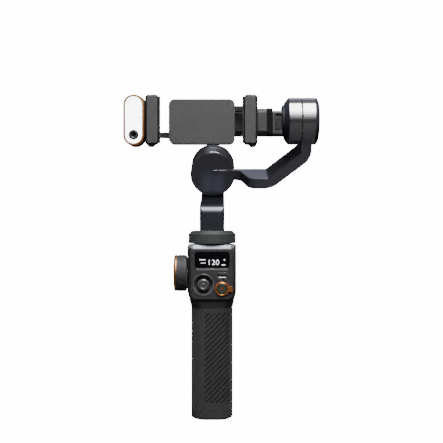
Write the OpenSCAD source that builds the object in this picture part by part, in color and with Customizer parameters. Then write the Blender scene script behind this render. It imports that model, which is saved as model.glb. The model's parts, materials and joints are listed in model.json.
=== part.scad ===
// Handheld three-axis stabiliser with a self-centring clamp.
// Millimetres. The origin is the mouth of the threaded socket under the handle,
// +Z is up, the controls face -Y and the control wheel is on the -X side.

/* [Grip] */
// Width of the grip, from side to side
grip_w = 35.5; // [34:0.5:37]
// Depth of the grip, from front to back
grip_d = 37; // [36:0.5:39]
// Corner radius of the grip's section
grip_r = 12; // [10:0.5:14]
// Height at which the rubber sleeve ends
grip_top = 94.4; // [90:0.2:97]
// Thickness of the rubber sleeve
sleeve_t = 1.6; // [1.4:0.1:1.9]
// Wall thickness of the two handle shells
wall_t = 2.2; // [2:0.1:2.4]
// Height of the base cap
base_h = 8; // [7:0.5:10]
// Height of the rounding round the base
base_round = 5.5; // [4:0.5:6]
// Height of the lowest point of the ribbed patch
rib_low = 14.7; // [13:0.5:20]
// Height of the highest point of the ribbed patch
rib_high = 90.9; // [80:0.5:93]
// Distance of the ribbed patch from the grip's left side
rib_left = 11.5; // [10:0.5:13]
// Distance of the ribbed patch from the grip's right side
rib_right = 3; // [2:0.5:5]
// Distance from rib to rib, measured along the grip
rib_pitch = 4.53; // [4:0.1:6]
// Depth of the grooves between the ribs
rib_deep = 0.5; // [0.3:0.1:0.8]

/* [Head] */
// Width of the head of the handle
head_w = 41.3; // [40.6:0.1:42.4]
// Depth of the head of the handle
head_d = 39.6; // [39:0.1:41]
// Corner radius at the front of the head
head_front_r = 5; // [4:0.5:6]
// Corner radius at the back of the head
head_rear_r = 14; // [12:0.5:15]
// Height at which the taper ends and the head starts
head_low = 108.3; // [107.5:0.1:109]
// Height of the top of the head
head_top = 148; // [147.5:0.1:149]
// Size of the bevel along the top of the head, in front
head_bevel = 3; // [2:0.5:3.5]

/* [Control panel] */
// Width of the shell beside the panel, on either side
panel_side = 2.65; // [2.4:0.05:2.8]
// Height of the panel's lower edge
panel_low = 101.8; // [101:0.1:102.5]
// Height of the panel's upper edge
panel_high = 144.8; // [144.3:0.1:145]
// Thickness of the panel
panel_t = 2.3; // [2.1:0.1:2.5]
// How far the panel stands out of the head
panel_proud = 1.4; // [1.2:0.1:1.6]
// Radius of the panel's lower corners
panel_r = 5; // [3:0.5:7]
// Distance from the display window to either side of the panel
screen_side = 3.4; // [3.2:0.1:4]
// Height of the display window
screen_h = 13.4; // [12:0.1:13.8]
// Sideways place of the display's middle
screen_x = 0.25; // [0:0.05:1]
// Height of the display's middle
screen_z = 135.5; // [135.2:0.1:136]
// How much the status light bar is shorter than the display, at either end
light_in = 1.6; // [1:0.1:3]
// Height of the status light bar
light_h = 1.3; // [1:0.1:1.5]
// Height of the light bar's middle
light_z = 127.7; // [127.5:0.1:127.9]

/* [Joystick] */
// Distance of the joystick from the panel's left edge
stick_edge = 10.95; // [10.85:0.05:11.05]
// Height of the joystick
stick_z = 114.6; // [114.4:0.1:114.8]
// Radius of the joystick's well
well_r = 9.1; // [8.9:0.1:9.2]
// Radius of the joystick's cap
stick_r = 6.1; // [5.5:0.1:6.2]
// Radius of the joystick's pins
stick_pin_r = 0.8; // [0.6:0.1:0.9]

/* [Buttons] */
// Distance of the menu button from the panel's right edge
menu_edge = 9.15; // [9:0.05:9.3]
// Height of the menu button
menu_z = 121.7; // [121.6:0.1:122]
// Width of the menu button
menu_w = 8.7; // [8:0.1:9]
// Height of the menu button's face
menu_h = 4.9; // [4.5:0.1:5]
// Distance of the record button from the panel's right edge
record_edge = 9.35; // [9.25:0.05:9.4]
// Height of the record button
record_z = 111.2; // [111.1:0.1:111.3]
// Radius of the record button
record_r = 4.15; // [3.8:0.05:4.2]
// Outer radius of the zoom ring
ring_r = 6.1; // [5.9:0.05:6.2]
// How far the zoom ring's tab reaches from the ring's axis
tab_reach = 8.7; // [8:0.1:9]
// Height of the zoom ring's tab
tab_h = 5.2; // [4:0.1:6]
// Travel of every push button
press = 0.8; // [0.6:0.1:0.9]
// Height of the side button's middle
side_z = 140.6; // [140.5:0.1:141]

/* [Control wheel] */
// Radius of the control wheel
wheel_r = 15.7; // [15:0.1:15.9]
// Width of the control wheel
wheel_w = 11; // [10:0.1:12]
// Height of the wheel's axis
wheel_z = 123.4; // [123:0.1:123.6]
// How far the wheel's axis lies in front of the handle's axis
wheel_fore = 4; // [3.5:0.1:4.5]
// Radius of the wheel's shaft
wheel_shaft_r = 3; // [2.5:0.1:3.2]
// Width of the anodised rim on the wheel
rim_w = 2.4; // [2:0.1:3]

/* [Trigger] */
// Width of the rear trigger
trigger_w = 11; // [10:0.5:12]
// Height of the trigger's pin
trigger_z = 119.5; // [119:0.5:120]
// How far the pin lies behind the handle's axis
trigger_back = 14.5; // [14:0.1:14.6]
// Radius of the trigger's pin
trigger_pin_r = 1.25; // [1:0.05:1.4]

/* [Motors] */
// How far the pan motor stays inside the sides of the head
pan_step = 0.15; // [0.1:0.05:0.5]
// Height of the pan motor's bell
pan_h = 10.9; // [10.5:0.1:11.2]
// Radius of the tilt motor
tilt_r = 20.4; // [20:0.1:20.5]
// Gap between each bell and its housing
seam = 0.9; // [0.7:0.1:1.1]
// Wall thickness of the motor bells and housings
bell_t = 2.4; // [2.2:0.1:2.6]
// Thickness of the magnets
magnet_t = 2; // [1.8:0.1:2.2]
// Air gap between magnets and stator
air_gap = 0.6; // [0.5:0.05:0.7]
// Radius of the motor shafts
shaft_r = 2.5; // [2.2:0.1:2.6]
// Outer radius of the ball bearings
bearing_r = 4.6; // [4.4:0.1:4.7]
// Outer radius of the tube that holds the bearings
tube_r = 7.5; // [7.2:0.1:7.8]
// Thickness of the plate that each stator is bolted to
plate_t = 3; // [2.8:0.1:3.2]
// Number of slots in each stator
slots = 12; // [9:3:12]
// Number of magnets in each bell
magnets = 14; // [12:2:16]

/* [Neck and roll motor] */
// Width of the neck
neck_w = 21.4; // [20:0.1:22]
// Bevel along the neck's front edges
neck_bevel = 2.1; // [1.5:0.1:2.5]
// Angle of the roll axis above the horizontal
roll_rise = 20; // [19:0.5:21]
// How far the roll arm's front lies behind the handle's axis
roll_y = 9.9; // [9.8:0.1:10.2]
// Height at which the roll axis meets the arm's front
roll_z = 200.8; // [200.5:0.1:201.5]
// Length of the roll motor's bell
roll_bell_h = 14.6; // [14:0.1:15]
// Depth of the roll motor's housing, with its plate
roll_house_h = 12.5; // [12:0.1:13]
// Thickness of the end caps of the roll and tilt motors
cap_t = 3.5; // [3:0.1:4]

/* [Roll arm] */
// Thickness of the arm, seen from the front
arm_t = 9.3; // [9:0.1:9.6]
// Depth of the arm along the roll axis
arm_d = 33; // [32:0.1:33.5]
// Sideways place of the lower bend
bend_x = 50.5; // [49:0.5:52]
// Rise of the slanting part of the arm
arm_rise = 38.7; // [37:0.1:40]
// Outer radius of the lower bend
bend_low_r = 21; // [15:0.5:22]
// Outer radius of the upper bend
bend_high_r = 15.5; // [12:0.5:16]
// Thickness of the arm's rear cover
cover_t = 1.8; // [1.5:0.1:2.2]
// Thickness of the arm where it passes behind the clamp, along the roll axis
bar_t = 6; // [5:0.5:7]

/* [Tilt motor] */
// Sideways place of the seam between the tilt motor's halves
tilt_x = 77.05; // [76.8:0.05:77.3]
// Height of the tilt axis above the roll axis, square to it
tilt_rise = 52.8; // [52.5:0.1:53]
// Length of the tilt motor's bell
tilt_bell_h = 13.5; // [13.2:0.1:14]
// Depth of the tilt motor's housing, with its plate
tilt_house_h = 11.4; // [11:0.1:12]
// Bevel of the motor bells
bell_bevel = 3.4; // [2.5:0.1:3.6]
// Height of the round boss between the tilt motor and the stem
boss_h = 2.1; // [1.5:0.1:2.5]
// Radius of that boss
boss_r = 13.6; // [12:0.1:15]

/* [Stem] */
// Height of the stem
stem_h = 23.8; // [22:0.2:25]
// Depth of the stem
stem_d = 12; // [11:0.5:12.5]
// Length of the stem's block next to the tilt motor
stem_len = 8.5; // [8:0.1:9]
// Length of the raised collar on the stem
collar_len = 4.9; // [4:0.1:6]
// How much lower the stem is beside the motor than the collar
stem_drop = 2.2; // [1:0.1:3]
// How far the collar stands proud of the stem
collar_proud = 0.1; // [0:0.05:0.3]
// Bevel of the bracket's long edges
bracket_bevel = 3.7; // [3:0.1:4]
// Travel of the lock latch
latch_travel = 3; // [2:0.5:3]

/* [Clamp] */
// Sideways place of the clamp's middle
clamp_x = -8.6; // [-9:0.1:-8.2]
// Height of the clamp's middle
clamp_z = 252.2; // [252:0.1:253]
// How far the back of the held slab lies in front of the handle's axis
clamp_fore = 16.2; // [16:0.1:16.6]
// Width of the slab that the jaws are open for
grasp_w = 77.4; // [76:0.2:80]
// Thickness of the slab between pad and lip
grasp_t = 7.8; // [7:0.2:8.4]
// Half length of the clamp's body
body_half = 28; // [27:0.5:29]
// Height of the clamp's body
body_h = 38; // [37:0.5:40]
// Depth of the clamp's body, with its back plate
body_d = 10; // [9.8:0.1:10.4]
// Thickness of the clamp's back plate
back_t = 2; // [1.8:0.1:2.2]
// Height of the jaws
jaw_h = 41.8; // [41:0.2:44]
// Width of each jaw, pad and wall together
jaw_w = 8; // [7.5:0.1:9]
// How far the lips reach over the slab
lip_over = 4.5; // [4:0.1:5]
// Thickness of the lips
lip_t = 4; // [3.5:0.1:4.5]
// Thickness of the rubber pads
pad_t = 1.2; // [1:0.1:1.5]
// Radius of the pin that the clamp turns on
pivot_r = 5; // [4.5:0.1:5.5]
// Gear module of the pinion and racks
gear_m = 1.25; // [1.2:0.05:1.3]
// Teeth on the pinion
pinion_teeth = 12; // [12:2:14]
// Pressure angle of the teeth
pressure = 25; // [25:1:26]
// Gap by which each tooth is thinner than its half pitch
backlash = 0.3; // [0.25:0.05:0.35]
// Outward travel of each jaw
jaw_out = 8; // [6:0.5:8]
// Inward travel of each jaw
jaw_in = 10; // [8:0.5:10]

/* [Sensor module] */
// Width of the sensor module
sensor_w = 17.4; // [16.5:0.1:18]
// Height of the sensor module
sensor_h = 42.3; // [40:0.1:44]
// How much lower the sensor module's middle is than the clamp's
sensor_down = 0.8; // [0:0.1:1.5]
// Depth of the dark body
sensor_d = 14; // [12:0.5:15]
// Depth of the anodised rim
sensor_rim_d = 4.5; // [4:0.1:5]
// Width of the rim's edge, seen from the front
sensor_rim_t = 1.35; // [1:0.05:1.6]
// Radius of the lens bezel
lens_r = 3.8; // [3:0.1:4]
// Height of the lens above the module's lower end
lens_up = 9; // [8.5:0.1:10]

/* [Hidden] */
$fn = 96;

// Clearances that every fit is worked out from
fit = 0.05;
run = 0.04;
slip = 0.25;
skin = 0.01;
over = 1;
// Facets of the corners inside hulls
hull_fn = 32;
// Steps in a rounded corner of an outline
arc_n = 7;

// Places that follow the width of the head
panel_w = head_w - 2 * panel_side;
stick_x = stick_edge - panel_w / 2;
menu_x = panel_w / 2 - menu_edge;
record_x = panel_w / 2 - record_edge;
pan_r = head_w / 2 - pan_step;
screen_w = panel_w - 2 * screen_side;
light_w = screen_w - 2 * light_in;
// Front and back faces of the head and the panel
head_front = -head_d / 2;
panel_face = head_front - panel_proud;
panel_back = panel_face + panel_t;
// The battery and its cradle
cell_r = 9.2;
cell_h = 65;
cell_gap = 9;
cell_low = base_h + cell_gap;
cradle_t = 2;
cradle_share = 0.12;
// The base cap's plug and the threaded socket
plug_h = 5.5;
socket_r = 3.175;
socket_deep = 7.4;
insert_r = 5.2;
insert_h = 9.4;
// The main board
board_t = 1.6;
board_front = -11.6;
board_gap = 0.65;
board_w = head_w - 2 * (wall_t + board_gap);
board_low = 106.5;
board_high = 143.5;
post_r = 0.8;
post_x = board_w / 2 - post_r;
post_in = 3;
window_side = 2.2;
window_w = panel_w - 2 * window_side;
window_up = 2.6;
window_low = panel_low + window_up;
window_high = 143.2;
top_t = 3;
switch_w = 5;
switch_t = 1.3;
glass_t = 1.2;
glass_sunk = 0.3;
// Shared sizes of the buttons
proud = 0.7;
flange_t = 1;
flange_w = 0.95;
flange_gap = 0.55;
plunger_r = 1.3;
ring_t = 1.5;
ring_wall = 1.7;
plunger_end = board_front - switch_t - press - slip;
dish_r = 3.2;
// The joystick
stick_pivot = -14.6;
bowl_t = 0.7;
bowl_floor = -18.3;
bowl_rim = 0.35;
yoke_w = 9;
yoke_t = 3;
yoke_bar = 1.3;
hub_w = 5.2;
hub_t = 2.6;
stem_r = 1.5;
stick_t = 2.6;
stick_top = -23;
bracket_w = 1.4;
// The control wheel
wheel_gap = 0.8;
wheel_in = -head_w / 2 - wheel_gap;
wheel_out = wheel_in - wheel_w;
shaft_in = -head_w / 2 + wall_t;
shaft_flange = 1.2;
tread_n = 30;
tread_deep = 0.45;
tread_w = 1.1;
dish_share = 0.72;
// The trigger
trigger_gap = 0.4;
trigger_low = 98;
// The motors
flange_r = 9;
tube_below = 6;
stator_flange = 2;
bearing_t = 2.5;
slot_r = 2.1;
slot_gap = 1;
magnet_gap = 0.5;
core_off = 1.4;
shaft_tail = 0.5;
bell_floor = 2;
// The clamp's places, seen from its own middle
clamp_y = -clamp_fore;
back_y = clamp_y + body_d;
grasp_half = grasp_w / 2;
lip_back = clamp_y - grasp_t - pad_t / 2;
lip_front = lip_back - lip_t;
jaw_back = back_y - 0.2;
body_front_t = 1.6;
channel_front = clamp_y + body_front_t;
plate_front = back_y - back_t;
bar_gap = 0.3;
pitch_r = gear_m * pinion_teeth / 2;
tooth_pitch = PI * gear_m;
tooth_w = tooth_pitch / 2 - backlash;
tip_share = 0.95;
root_share = 1.25;
rack_back = 4.4;
bar_top = pitch_r + gear_m * root_share + rack_back;
bar_low = pitch_r - gear_m * tip_share;
post_pin_r = 2;
spring_w = 0.45;
spring_turns = 3;
gear_t = 3.4;
// The stem and its bracket
stem_front = back_y + 0.6;
bracket_d = 8.4;
collar_end = tilt_x - seam - tilt_bell_h - boss_h - stem_len;
collar_start = collar_end - collar_len;
bracket_start = 12;
pin_head_r = 7.5;
pin_head_t = 1.6;
// The lock latch
latch_w = 5;
latch_h = 9.8;
latch_t = 2;
latch_deep = 1.6;
groove_w = 0.8;

// Details of the shells
head_edge = 0.6;
port_w = 8.9;
port_h = 3.2;
screw_z = [cell_low + over, grip_top - 4 * over];
screw_r = 1.6;
screw_head_r = 2.6;
screw_head_t = 1.5;
boss_t = 2.3;
slot_below = 2.6;
slot_above = 3;
// Details of the controls
panel_edge = 0.7;
rib_turn = 45;
rib_share = 0.3;
base_share = 0.9;
round_shares = [0, 0.35, 1];
seam_gap = 0.15;
port_deep = 6;
port_foot = 3;
port_t = 0.35;
glass_back = panel_face + glass_sunk + glass_t;
yoke_side = 0.5;
dish_ball_r = (dish_r * dish_r + proud * proud) / (2 * proud);
button_back = panel_back + flange_gap;
scoop_deep = 0.45;
scoop_r = 6;
record_bevel = 0.3;
dot_r = 1;
ring_back = button_back + flange_t + skin;
side_proud = 0.6;
wheel_bevel = 0.8;
tread_share = 0.62;
trigger_out = 5.4;
trigger_in = 1;
trigger_curl = 5;
trigger_round = 2.5;
coil_w = 4;
coil_box = 3.4;
coil_wire = 0.5;
// Details of the motors and arms
bell_lip = 0.5;
cap_round = 3.2;
cap_lip = 1.5;
roll_start = arm_d;
bar_front = arm_d - bar_t;
tilt_share = 0.4242;
tilt_a = arm_d * tilt_share;
house_a = roll_start + roll_bell_h + seam;
pan_bevel = 2.9;
neck_front = -7;
neck_past = 1.1;
neck_reach = neck_past * (roll_y + (house_a + roll_house_h + cap_t) * cos(roll_rise) - neck_front);
neck_rise = 46;
neck_round = 20;
// Corners of the neck's side: share of the reach, share of the rise, share of the rounding
neck_shares = [[0, 0, 0], [0, 0.48, 0.4], [0.475, 0.6, 0.6], [0.75, 0.75, 0.15], [0.85, 1, 0],
    [1, 1, 0.1], [1.025, 0.74, 0.5], [0.8625, 0.39, 1], [0.3875, 0.185, 0.7], [0.25, 0, 0]];
bar_flare = 33;
flare_share = 0.75;
plan_r = 8;
plan_step = 3;
plan_end = bend_x - plan_step;
bar_start = plan_end - plan_step;
inner_r = 3;
hub_plate = 4;
cover_share = 0.92;
// Details of the clamp and the sensor module
stem_up = 1.3;
stem_r2 = 2.4;
latch_x = collar_end + stem_len / 2 + 1;
latch_z = clamp_z + stem_up - latch_h / 2 - latch_travel / 2;
body_r = 5;
base_r = pitch_r * cos(pressure);
tip_r = pitch_r + gear_m * tip_share;
root_r = pitch_r - gear_m * root_share;
flank = [root_r, base_r, for (i = [1:5]) base_r + (tip_r - base_r) * i / 5];
pinion_points = [for (k = [0:pinion_teeth - 1]) let (mid = 90 + k * 360 / pinion_teeth)
    each concat([for (r = flank) spoke(r, mid - half_tooth(r))],
        [for (i = [len(flank) - 1:-1:0]) spoke(flank[i], mid + half_tooth(flank[i]))])];
spring_in = post_pin_r + over + spring_w / 2 + fit / 2;
spring_out = root_r;
spring_steps = 20;
jaw_r = 2.6;
lip_bevel = 1.6;
sensor_x = clamp_x - grasp_half - jaw_w - bar_gap - sensor_w / 2;
sensor_z = clamp_z - sensor_down;
sensor_out = 2.6;
dot_in = 6.4;
sensor_face_y = lip_front - sensor_out;
sensor_side = 0.3;
rim_bevel = 0.7;
sensor_face_t = 2.4;
face_sunk = 0.25;
lens_bevel = 0.4;
lens_glass_r = 1.7;

// Rectangle with four equal rounded corners
module rounded(w, d, r) {
    square([w - 2 * r, d], center = true);
    square([w, d - 2 * r], center = true);
    for (x = [-1, 1], y = [-1, 1]) translate([x * (w / 2 - r), y * (d / 2 - r)]) circle(r);
}

// Section of the head: tight corners at the front, wide ones at the back
module head_section(inset) {
    w = head_w - 2 * inset;
    d = head_d - 2 * inset;
    front_r = head_front_r - inset;
    rear_r = head_rear_r - inset;
    translate([0, (front_r - rear_r) / 2]) square([w, d - front_r - rear_r], center = true);
    translate([0, -d / 4]) square([w - 2 * front_r, d / 2], center = true);
    translate([0, d / 4]) square([w - 2 * rear_r, d / 2], center = true);
    for (x = [-1, 1]) {
        translate([x * (w / 2 - front_r), front_r - d / 2]) circle(front_r);
        translate([x * (w / 2 - rear_r), d / 2 - rear_r]) circle(rear_r);
    }
}

// Section of the grip, drawn in by an inset
module grip_section(inset) {
    rounded(grip_w - 2 * inset, grip_d - 2 * inset, grip_r - inset);
}

// Extrusions along the other two axes
module along_y(len) {
    translate([0, len, 0]) rotate([90, 0, 0]) linear_extrude(len) children();
}
module along_x(len) {
    rotate([90, 0, 90]) linear_extrude(len) children();
}

// A shape as thick as len that starts at y and stands in the X-Z plane
module panel_piece(y, len) {
    translate([0, y, 0]) along_y(len) children();
}

// A pill-shaped outline
module pill(w, h) {
    r = min(w, h) / 2;
    square([w > h ? w - h : w, w > h ? h : h - w], center = true);
    for (s = [-1, 1]) translate([w > h ? s * (w - h) / 2 : 0, w > h ? 0 : s * (h - w) / 2]) circle(r);
}

// Arc that rounds the corner p between its neighbours a and b
function unit(v) = v / norm(v);
function corner(a, p, b, r) =
    let (u = unit(a - p), v = unit(b - p), half = acos(u * v) / 2)
    let (c = p + unit(u + v) * r / sin(half), s = p + u * r / tan(half), e = p + v * r / tan(half))
    let (a0 = atan2(s[1] - c[1], s[0] - c[0]), a1 = atan2(e[1] - c[1], e[0] - c[0]))
    let (turn = (a1 - a0 + 540) % 360 - 180)
    [for (i = [0:arc_n]) c + r * [cos(a0 + turn * i / arc_n), sin(a0 + turn * i / arc_n)]];
function soften(points, radii) =
    let (n = len(points))
    [for (i = [0:n - 1]) each radii[i] > 0
        ? corner(points[(i + n - 1) % n], points[i], points[(i + 1) % n], radii[i])
        : [points[i]]];

// Outer form of the two handle shells, without the sleeve
module handle_outer() {
    translate([0, 0, base_h]) linear_extrude(grip_top - base_h) grip_section(sleeve_t);
    hull() {
        translate([0, 0, grip_top]) linear_extrude(skin) grip_section(0, $fn = hull_fn);
        translate([0, 0, head_low]) linear_extrude(skin) head_section(0, $fn = hull_fn);
    }
    difference() {
        union() {
            translate([0, 0, head_low]) linear_extrude(head_top - head_edge - head_low) head_section(0);
            hull() {
                translate([0, 0, head_top - head_edge]) linear_extrude(skin) head_section(0, $fn = hull_fn);
                translate([0, 0, head_top - skin]) linear_extrude(skin) head_section(head_edge, $fn = hull_fn);
            }
        }
        translate([0, head_front, head_top]) rotate([45, 0, 0])
            cube([2 * head_w, head_bevel * sqrt(2), head_bevel * sqrt(2)], center = true);
    }
}

// Hollow inside the handle
module handle_hollow() {
    translate([0, 0, base_h - over]) linear_extrude(grip_top - base_h + over + skin)
        grip_section(sleeve_t + wall_t);
    hull() {
        translate([0, 0, grip_top]) linear_extrude(skin) grip_section(sleeve_t + wall_t, $fn = hull_fn);
        translate([0, 0, head_low]) linear_extrude(skin) head_section(wall_t, $fn = hull_fn);
    }
    translate([0, 0, head_low]) linear_extrude(head_top - top_t - head_low) head_section(wall_t);
}

// Two shelves that hold the battery cell
module cradle() {
    for (z = [cell_low + cell_h * cradle_share, cell_low + cell_h * (1 - cradle_share) - cradle_t])
        translate([0, 0, z]) linear_extrude(cradle_t) difference() {
            grip_section(sleeve_t + wall_t - skin);
            circle(cell_r + 3 * fit);
        }
}

module half(front) {
    translate([-head_w, front ? 0 : -head_d, -over]) cube([2 * head_w, head_d, 2 * head_top]);
}

// Outline of the panel: tight upper corners, wide lower ones
module panel_outline(grow) {
    low = panel_low - grow;
    high = panel_high + grow;
    half_w = panel_w / 2 + grow;
    polygon(soften([[-half_w, low], [half_w, low], [half_w, high], [-half_w, high]],
        [panel_r, panel_r, panel_r / 2, panel_r / 2]));
}

module side_hole(grow) {
    translate([0, -wheel_fore, side_z]) rotate([90, 0, 90]) translate([0, 0, -head_w])
        linear_extrude(head_w) pill(2 * switch_w * dish_share + 2 * grow, proud * 4 + 2 * grow);
}

module handle_front_shell() color("#3a393c") {
    difference() {
        union() {
            difference() {
                handle_outer();
                handle_hollow();
            }
            cradle();
            for (x = [-1, 1], z = [board_low + post_in, board_high - post_in])
                translate([x * post_x, head_front + wall_t - fit, z]) rotate([-90, 0, 0])
                    cylinder(r = post_r, h = board_front - head_front - wall_t + fit);
        }
        half(true);
        panel_piece(head_front - over, over + panel_back - head_front) panel_outline(fit);
        panel_piece(head_front - over, over + 2 * wall_t) translate([0, (window_low + window_high) / 2])
            square([window_w, window_high - window_low], center = true);
        translate([-head_w, -wheel_fore, wheel_z]) rotate([0, 90, 0])
            cylinder(r = wheel_shaft_r + run, h = head_w);
        side_hole(slip);
        translate([head_w / 2 - 2 * wall_t, -wheel_fore, wheel_z]) rotate([90, 0, 90])
            linear_extrude(3 * wall_t) pill(port_h + 2 * slip, port_w + 2 * slip);
        translate([0, 0, head_top - top_t - over]) cylinder(r = tube_r + fit, h = top_t + 2 * over);
    }
}

module handle_rear_shell() color("#343337") {
    difference() {
        union() {
            difference() {
                handle_outer();
                handle_hollow();
            }
            cradle();
            for (x = [-1, 1]) translate([x * (trigger_w / 2 + trigger_gap + boss_t / 2) - boss_t / 2,
                trigger_back - 3 * trigger_pin_r, trigger_z - 2.4 * trigger_pin_r])
                cube([boss_t, head_d / 2 - wall_t + fit - trigger_back + 3 * trigger_pin_r,
                    4.8 * trigger_pin_r]);
        }
        half(false);
        translate([-trigger_w / 2 - trigger_gap, head_d / 2 - 3 * wall_t, trigger_low - slot_below])
            cube([trigger_w + 2 * trigger_gap, 3 * wall_t + over,
                trigger_z - trigger_low + slot_above + slot_below]);
        translate([-head_w / 2, trigger_back, trigger_z]) rotate([0, 90, 0])
            cylinder(r = trigger_pin_r + fit, h = head_w);
        translate([0, 0, head_top - top_t - over]) cylinder(r = tube_r + fit, h = top_t + 2 * over);
        for (z = screw_z) translate([0, grip_d / 2 - sleeve_t - screw_head_t, z]) rotate([-90, 0, 0]) {
            cylinder(r = screw_head_r + fit, h = screw_head_t + over);
            translate([0, 0, -wall_t]) cylinder(r = screw_r + fit, h = wall_t + over);
        }
    }
}

module handle_screws() color("#9a9a9c") {
    for (z = screw_z) translate([0, grip_d / 2 - sleeve_t - screw_head_t, z]) rotate([-90, 0, 0]) {
        cylinder(r = screw_head_r, h = screw_head_t - fit);
        translate([0, 0, -wall_t]) cylinder(r = screw_r, h = wall_t + fit);
    }
}

module front_panel() color("#3f3e41") {
    difference() {
        union() {
            panel_piece(panel_face + panel_edge, panel_t - panel_edge) panel_outline(0);
            hull() {
                panel_piece(panel_face, skin) panel_outline(-panel_edge);
                panel_piece(panel_face + panel_edge, skin) panel_outline(0);
            }
        }
        panel_hole() translate([screen_x, screen_z])
            square([screen_w + 2 * fit, screen_h + 2 * fit], center = true);
        panel_hole() translate([screen_x, light_z])
            square([light_w + 2 * fit, light_h + 2 * fit], center = true);
        panel_hole() translate([stick_x, stick_z]) circle(well_r);
        panel_hole() translate([menu_x, menu_z]) pill(menu_w + 2 * slip, menu_h + 2 * slip);
        panel_hole() translate([record_x, record_z]) circle(record_r + ring_wall + fit);
    }
}
module panel_hole() {
    panel_piece(panel_face - over, panel_t + 2 * over) children();
}

// Rubber sleeve: a plain tube with diagonal ribs standing in a patch of the front
module grip_sleeve() color("#2f2e31") {
    difference() {
        translate([0, 0, base_h]) linear_extrude(grip_top - base_h) grip_section(0);
        translate([0, 0, base_h - over]) linear_extrude(grip_top - base_h + 2 * over)
            grip_section(sleeve_t);
        intersection() {
            rib_grooves();
            translate([0, 0, rib_low]) linear_extrude(rib_high - rib_low) difference() {
                translate([rib_left - grip_w / 2, -grip_d / 2])
                    square([grip_w - rib_left - rib_right, grip_d / 2]);
                grip_section(rib_deep);
            }
        }
    }
}
module rib_grooves() {
    n = floor((rib_high - rib_low) / rib_pitch) + 4;
    for (i = [-3:n]) translate([0, -grip_d, rib_low + i * rib_pitch]) rotate([0, -rib_turn, 0])
        translate([-grip_w, 0, 0]) cube([2 * grip_w, grip_d, rib_pitch * rib_share]);
}

module base_cap() color("#2c2b2e") {
    difference() {
        union() {
            hull() for (s = round_shares) translate([0, 0, base_round * (1 - sqrt(1 - pow(1 - s, 2)))])
                linear_extrude(skin)
                    grip_section(base_round * base_share * (1 - s) * (1 - s * s), $fn = hull_fn);
            translate([0, 0, base_round]) linear_extrude(base_h - base_round - seam_gap) grip_section(0);
            translate([0, 0, base_h - seam_gap - skin]) linear_extrude(plug_h)
                grip_section(sleeve_t + wall_t + fit);
        }
        translate([0, 0, -over]) cylinder(r = insert_r + fit, h = insert_h + over + fit);
    }
}

module tripod_insert() color("#c9a25a") {
    difference() {
        cylinder(r = insert_r, h = insert_h);
        translate([0, 0, -over]) cylinder(r = socket_r, h = socket_deep + over);
    }
}

module battery_cell() color("#5b7f95") {
    translate([0, 0, cell_low]) cylinder(r = cell_r, h = cell_h);
}

// Board with the display block, the switches and the charging socket soldered on
module main_board() color("#22583c") {
    translate([-board_w / 2, board_front, board_low]) cube([board_w, board_t, board_high - board_low]);
    translate([screen_x - screen_w / 2 + over, glass_back, screen_z - screen_h / 2 + fit])
        cube([screen_w - 2 * over, board_front - glass_back + skin, screen_h - 2 * fit]);
    for (p = [[menu_x, menu_z], [record_x, record_z]]) translate([p[0] - switch_w / 2,
        board_front - switch_t, p[1] - switch_w / 2]) cube([switch_w, switch_t + skin, switch_w]);
    difference() {
        union() {
            translate([head_w / 2 - port_deep, -wheel_fore, wheel_z]) rotate([90, 0, 90])
                linear_extrude(port_deep - fit) pill(port_h, port_w);
            translate([board_w / 2 - port_foot, board_front + skin, wheel_z - port_h / 2])
                cube([port_foot, -wheel_fore - board_front, port_h]);
        }
        translate([head_w / 2 - port_deep + port_t, -wheel_fore, wheel_z]) rotate([90, 0, 90])
            linear_extrude(port_deep) pill(port_h - 2 * port_t, port_w - 2 * port_t);
    }
}

module screen_glass() color("#0b0b0d") {
    translate([screen_x - screen_w / 2, panel_face + glass_sunk, screen_z - screen_h / 2])
        cube([screen_w, glass_t, screen_h]);
}

module light_bar() color("#d9d6e6") {
    translate([screen_x - light_w / 2, panel_face + fit, light_z - light_h / 2])
        cube([light_w, board_front - panel_face - fit, light_h]);
}

// Well that the joystick sits in, with the two posts that carry its yoke
module joystick_base() color("#29282b") {
    foot_r = well_r - proud - fit;
    translate([stick_x, 0, stick_z]) {
        rotate([90, 0, 0]) rotate_extrude() polygon([
            [well_r - fit, -panel_face - fit], [well_r - fit, -panel_back], [foot_r, -panel_back],
            [foot_r, -bowl_floor - bowl_t], [stem_r * 2, -bowl_floor - bowl_t], [stem_r * 2, -bowl_floor],
            [well_r - stem_r, -bowl_floor], [well_r - bowl_rim - fit, -panel_face - fit]]);
        difference() {
            for (s = [-1, 1]) translate([s * (yoke_w / 2 + yoke_side + bracket_w / 2) - bracket_w / 2,
                bowl_floor + bowl_t - skin, -2 * stick_pin_r])
                cube([bracket_w, stick_pivot - bowl_floor - bowl_t + 2 * stick_pin_r, 4 * stick_pin_r]);
            translate([-yoke_w, stick_pivot, 0]) rotate([0, 90, 0])
                cylinder(r = stick_pin_r + fit, h = 2 * yoke_w);
        }
    }
}

// Inner frame of the joystick, which tips about the X axis
module joystick_yoke() color("#8d8d92") {
    inner = yoke_w - 2 * yoke_bar;
    translate([stick_x, stick_pivot, stick_z]) {
        difference() {
            cube([yoke_w, yoke_t, yoke_w], center = true);
            cube([inner, yoke_t + 2 * over, inner], center = true);
            translate([0, 0, -yoke_w]) cylinder(r = stick_pin_r + fit, h = 2 * yoke_w);
        }
        for (s = [-1, 1]) translate([s * (yoke_w / 2 - skin), 0, 0]) rotate([0, s * 90, 0])
            cylinder(r = stick_pin_r, h = yoke_side + bracket_w - slip);
    }
}

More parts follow.
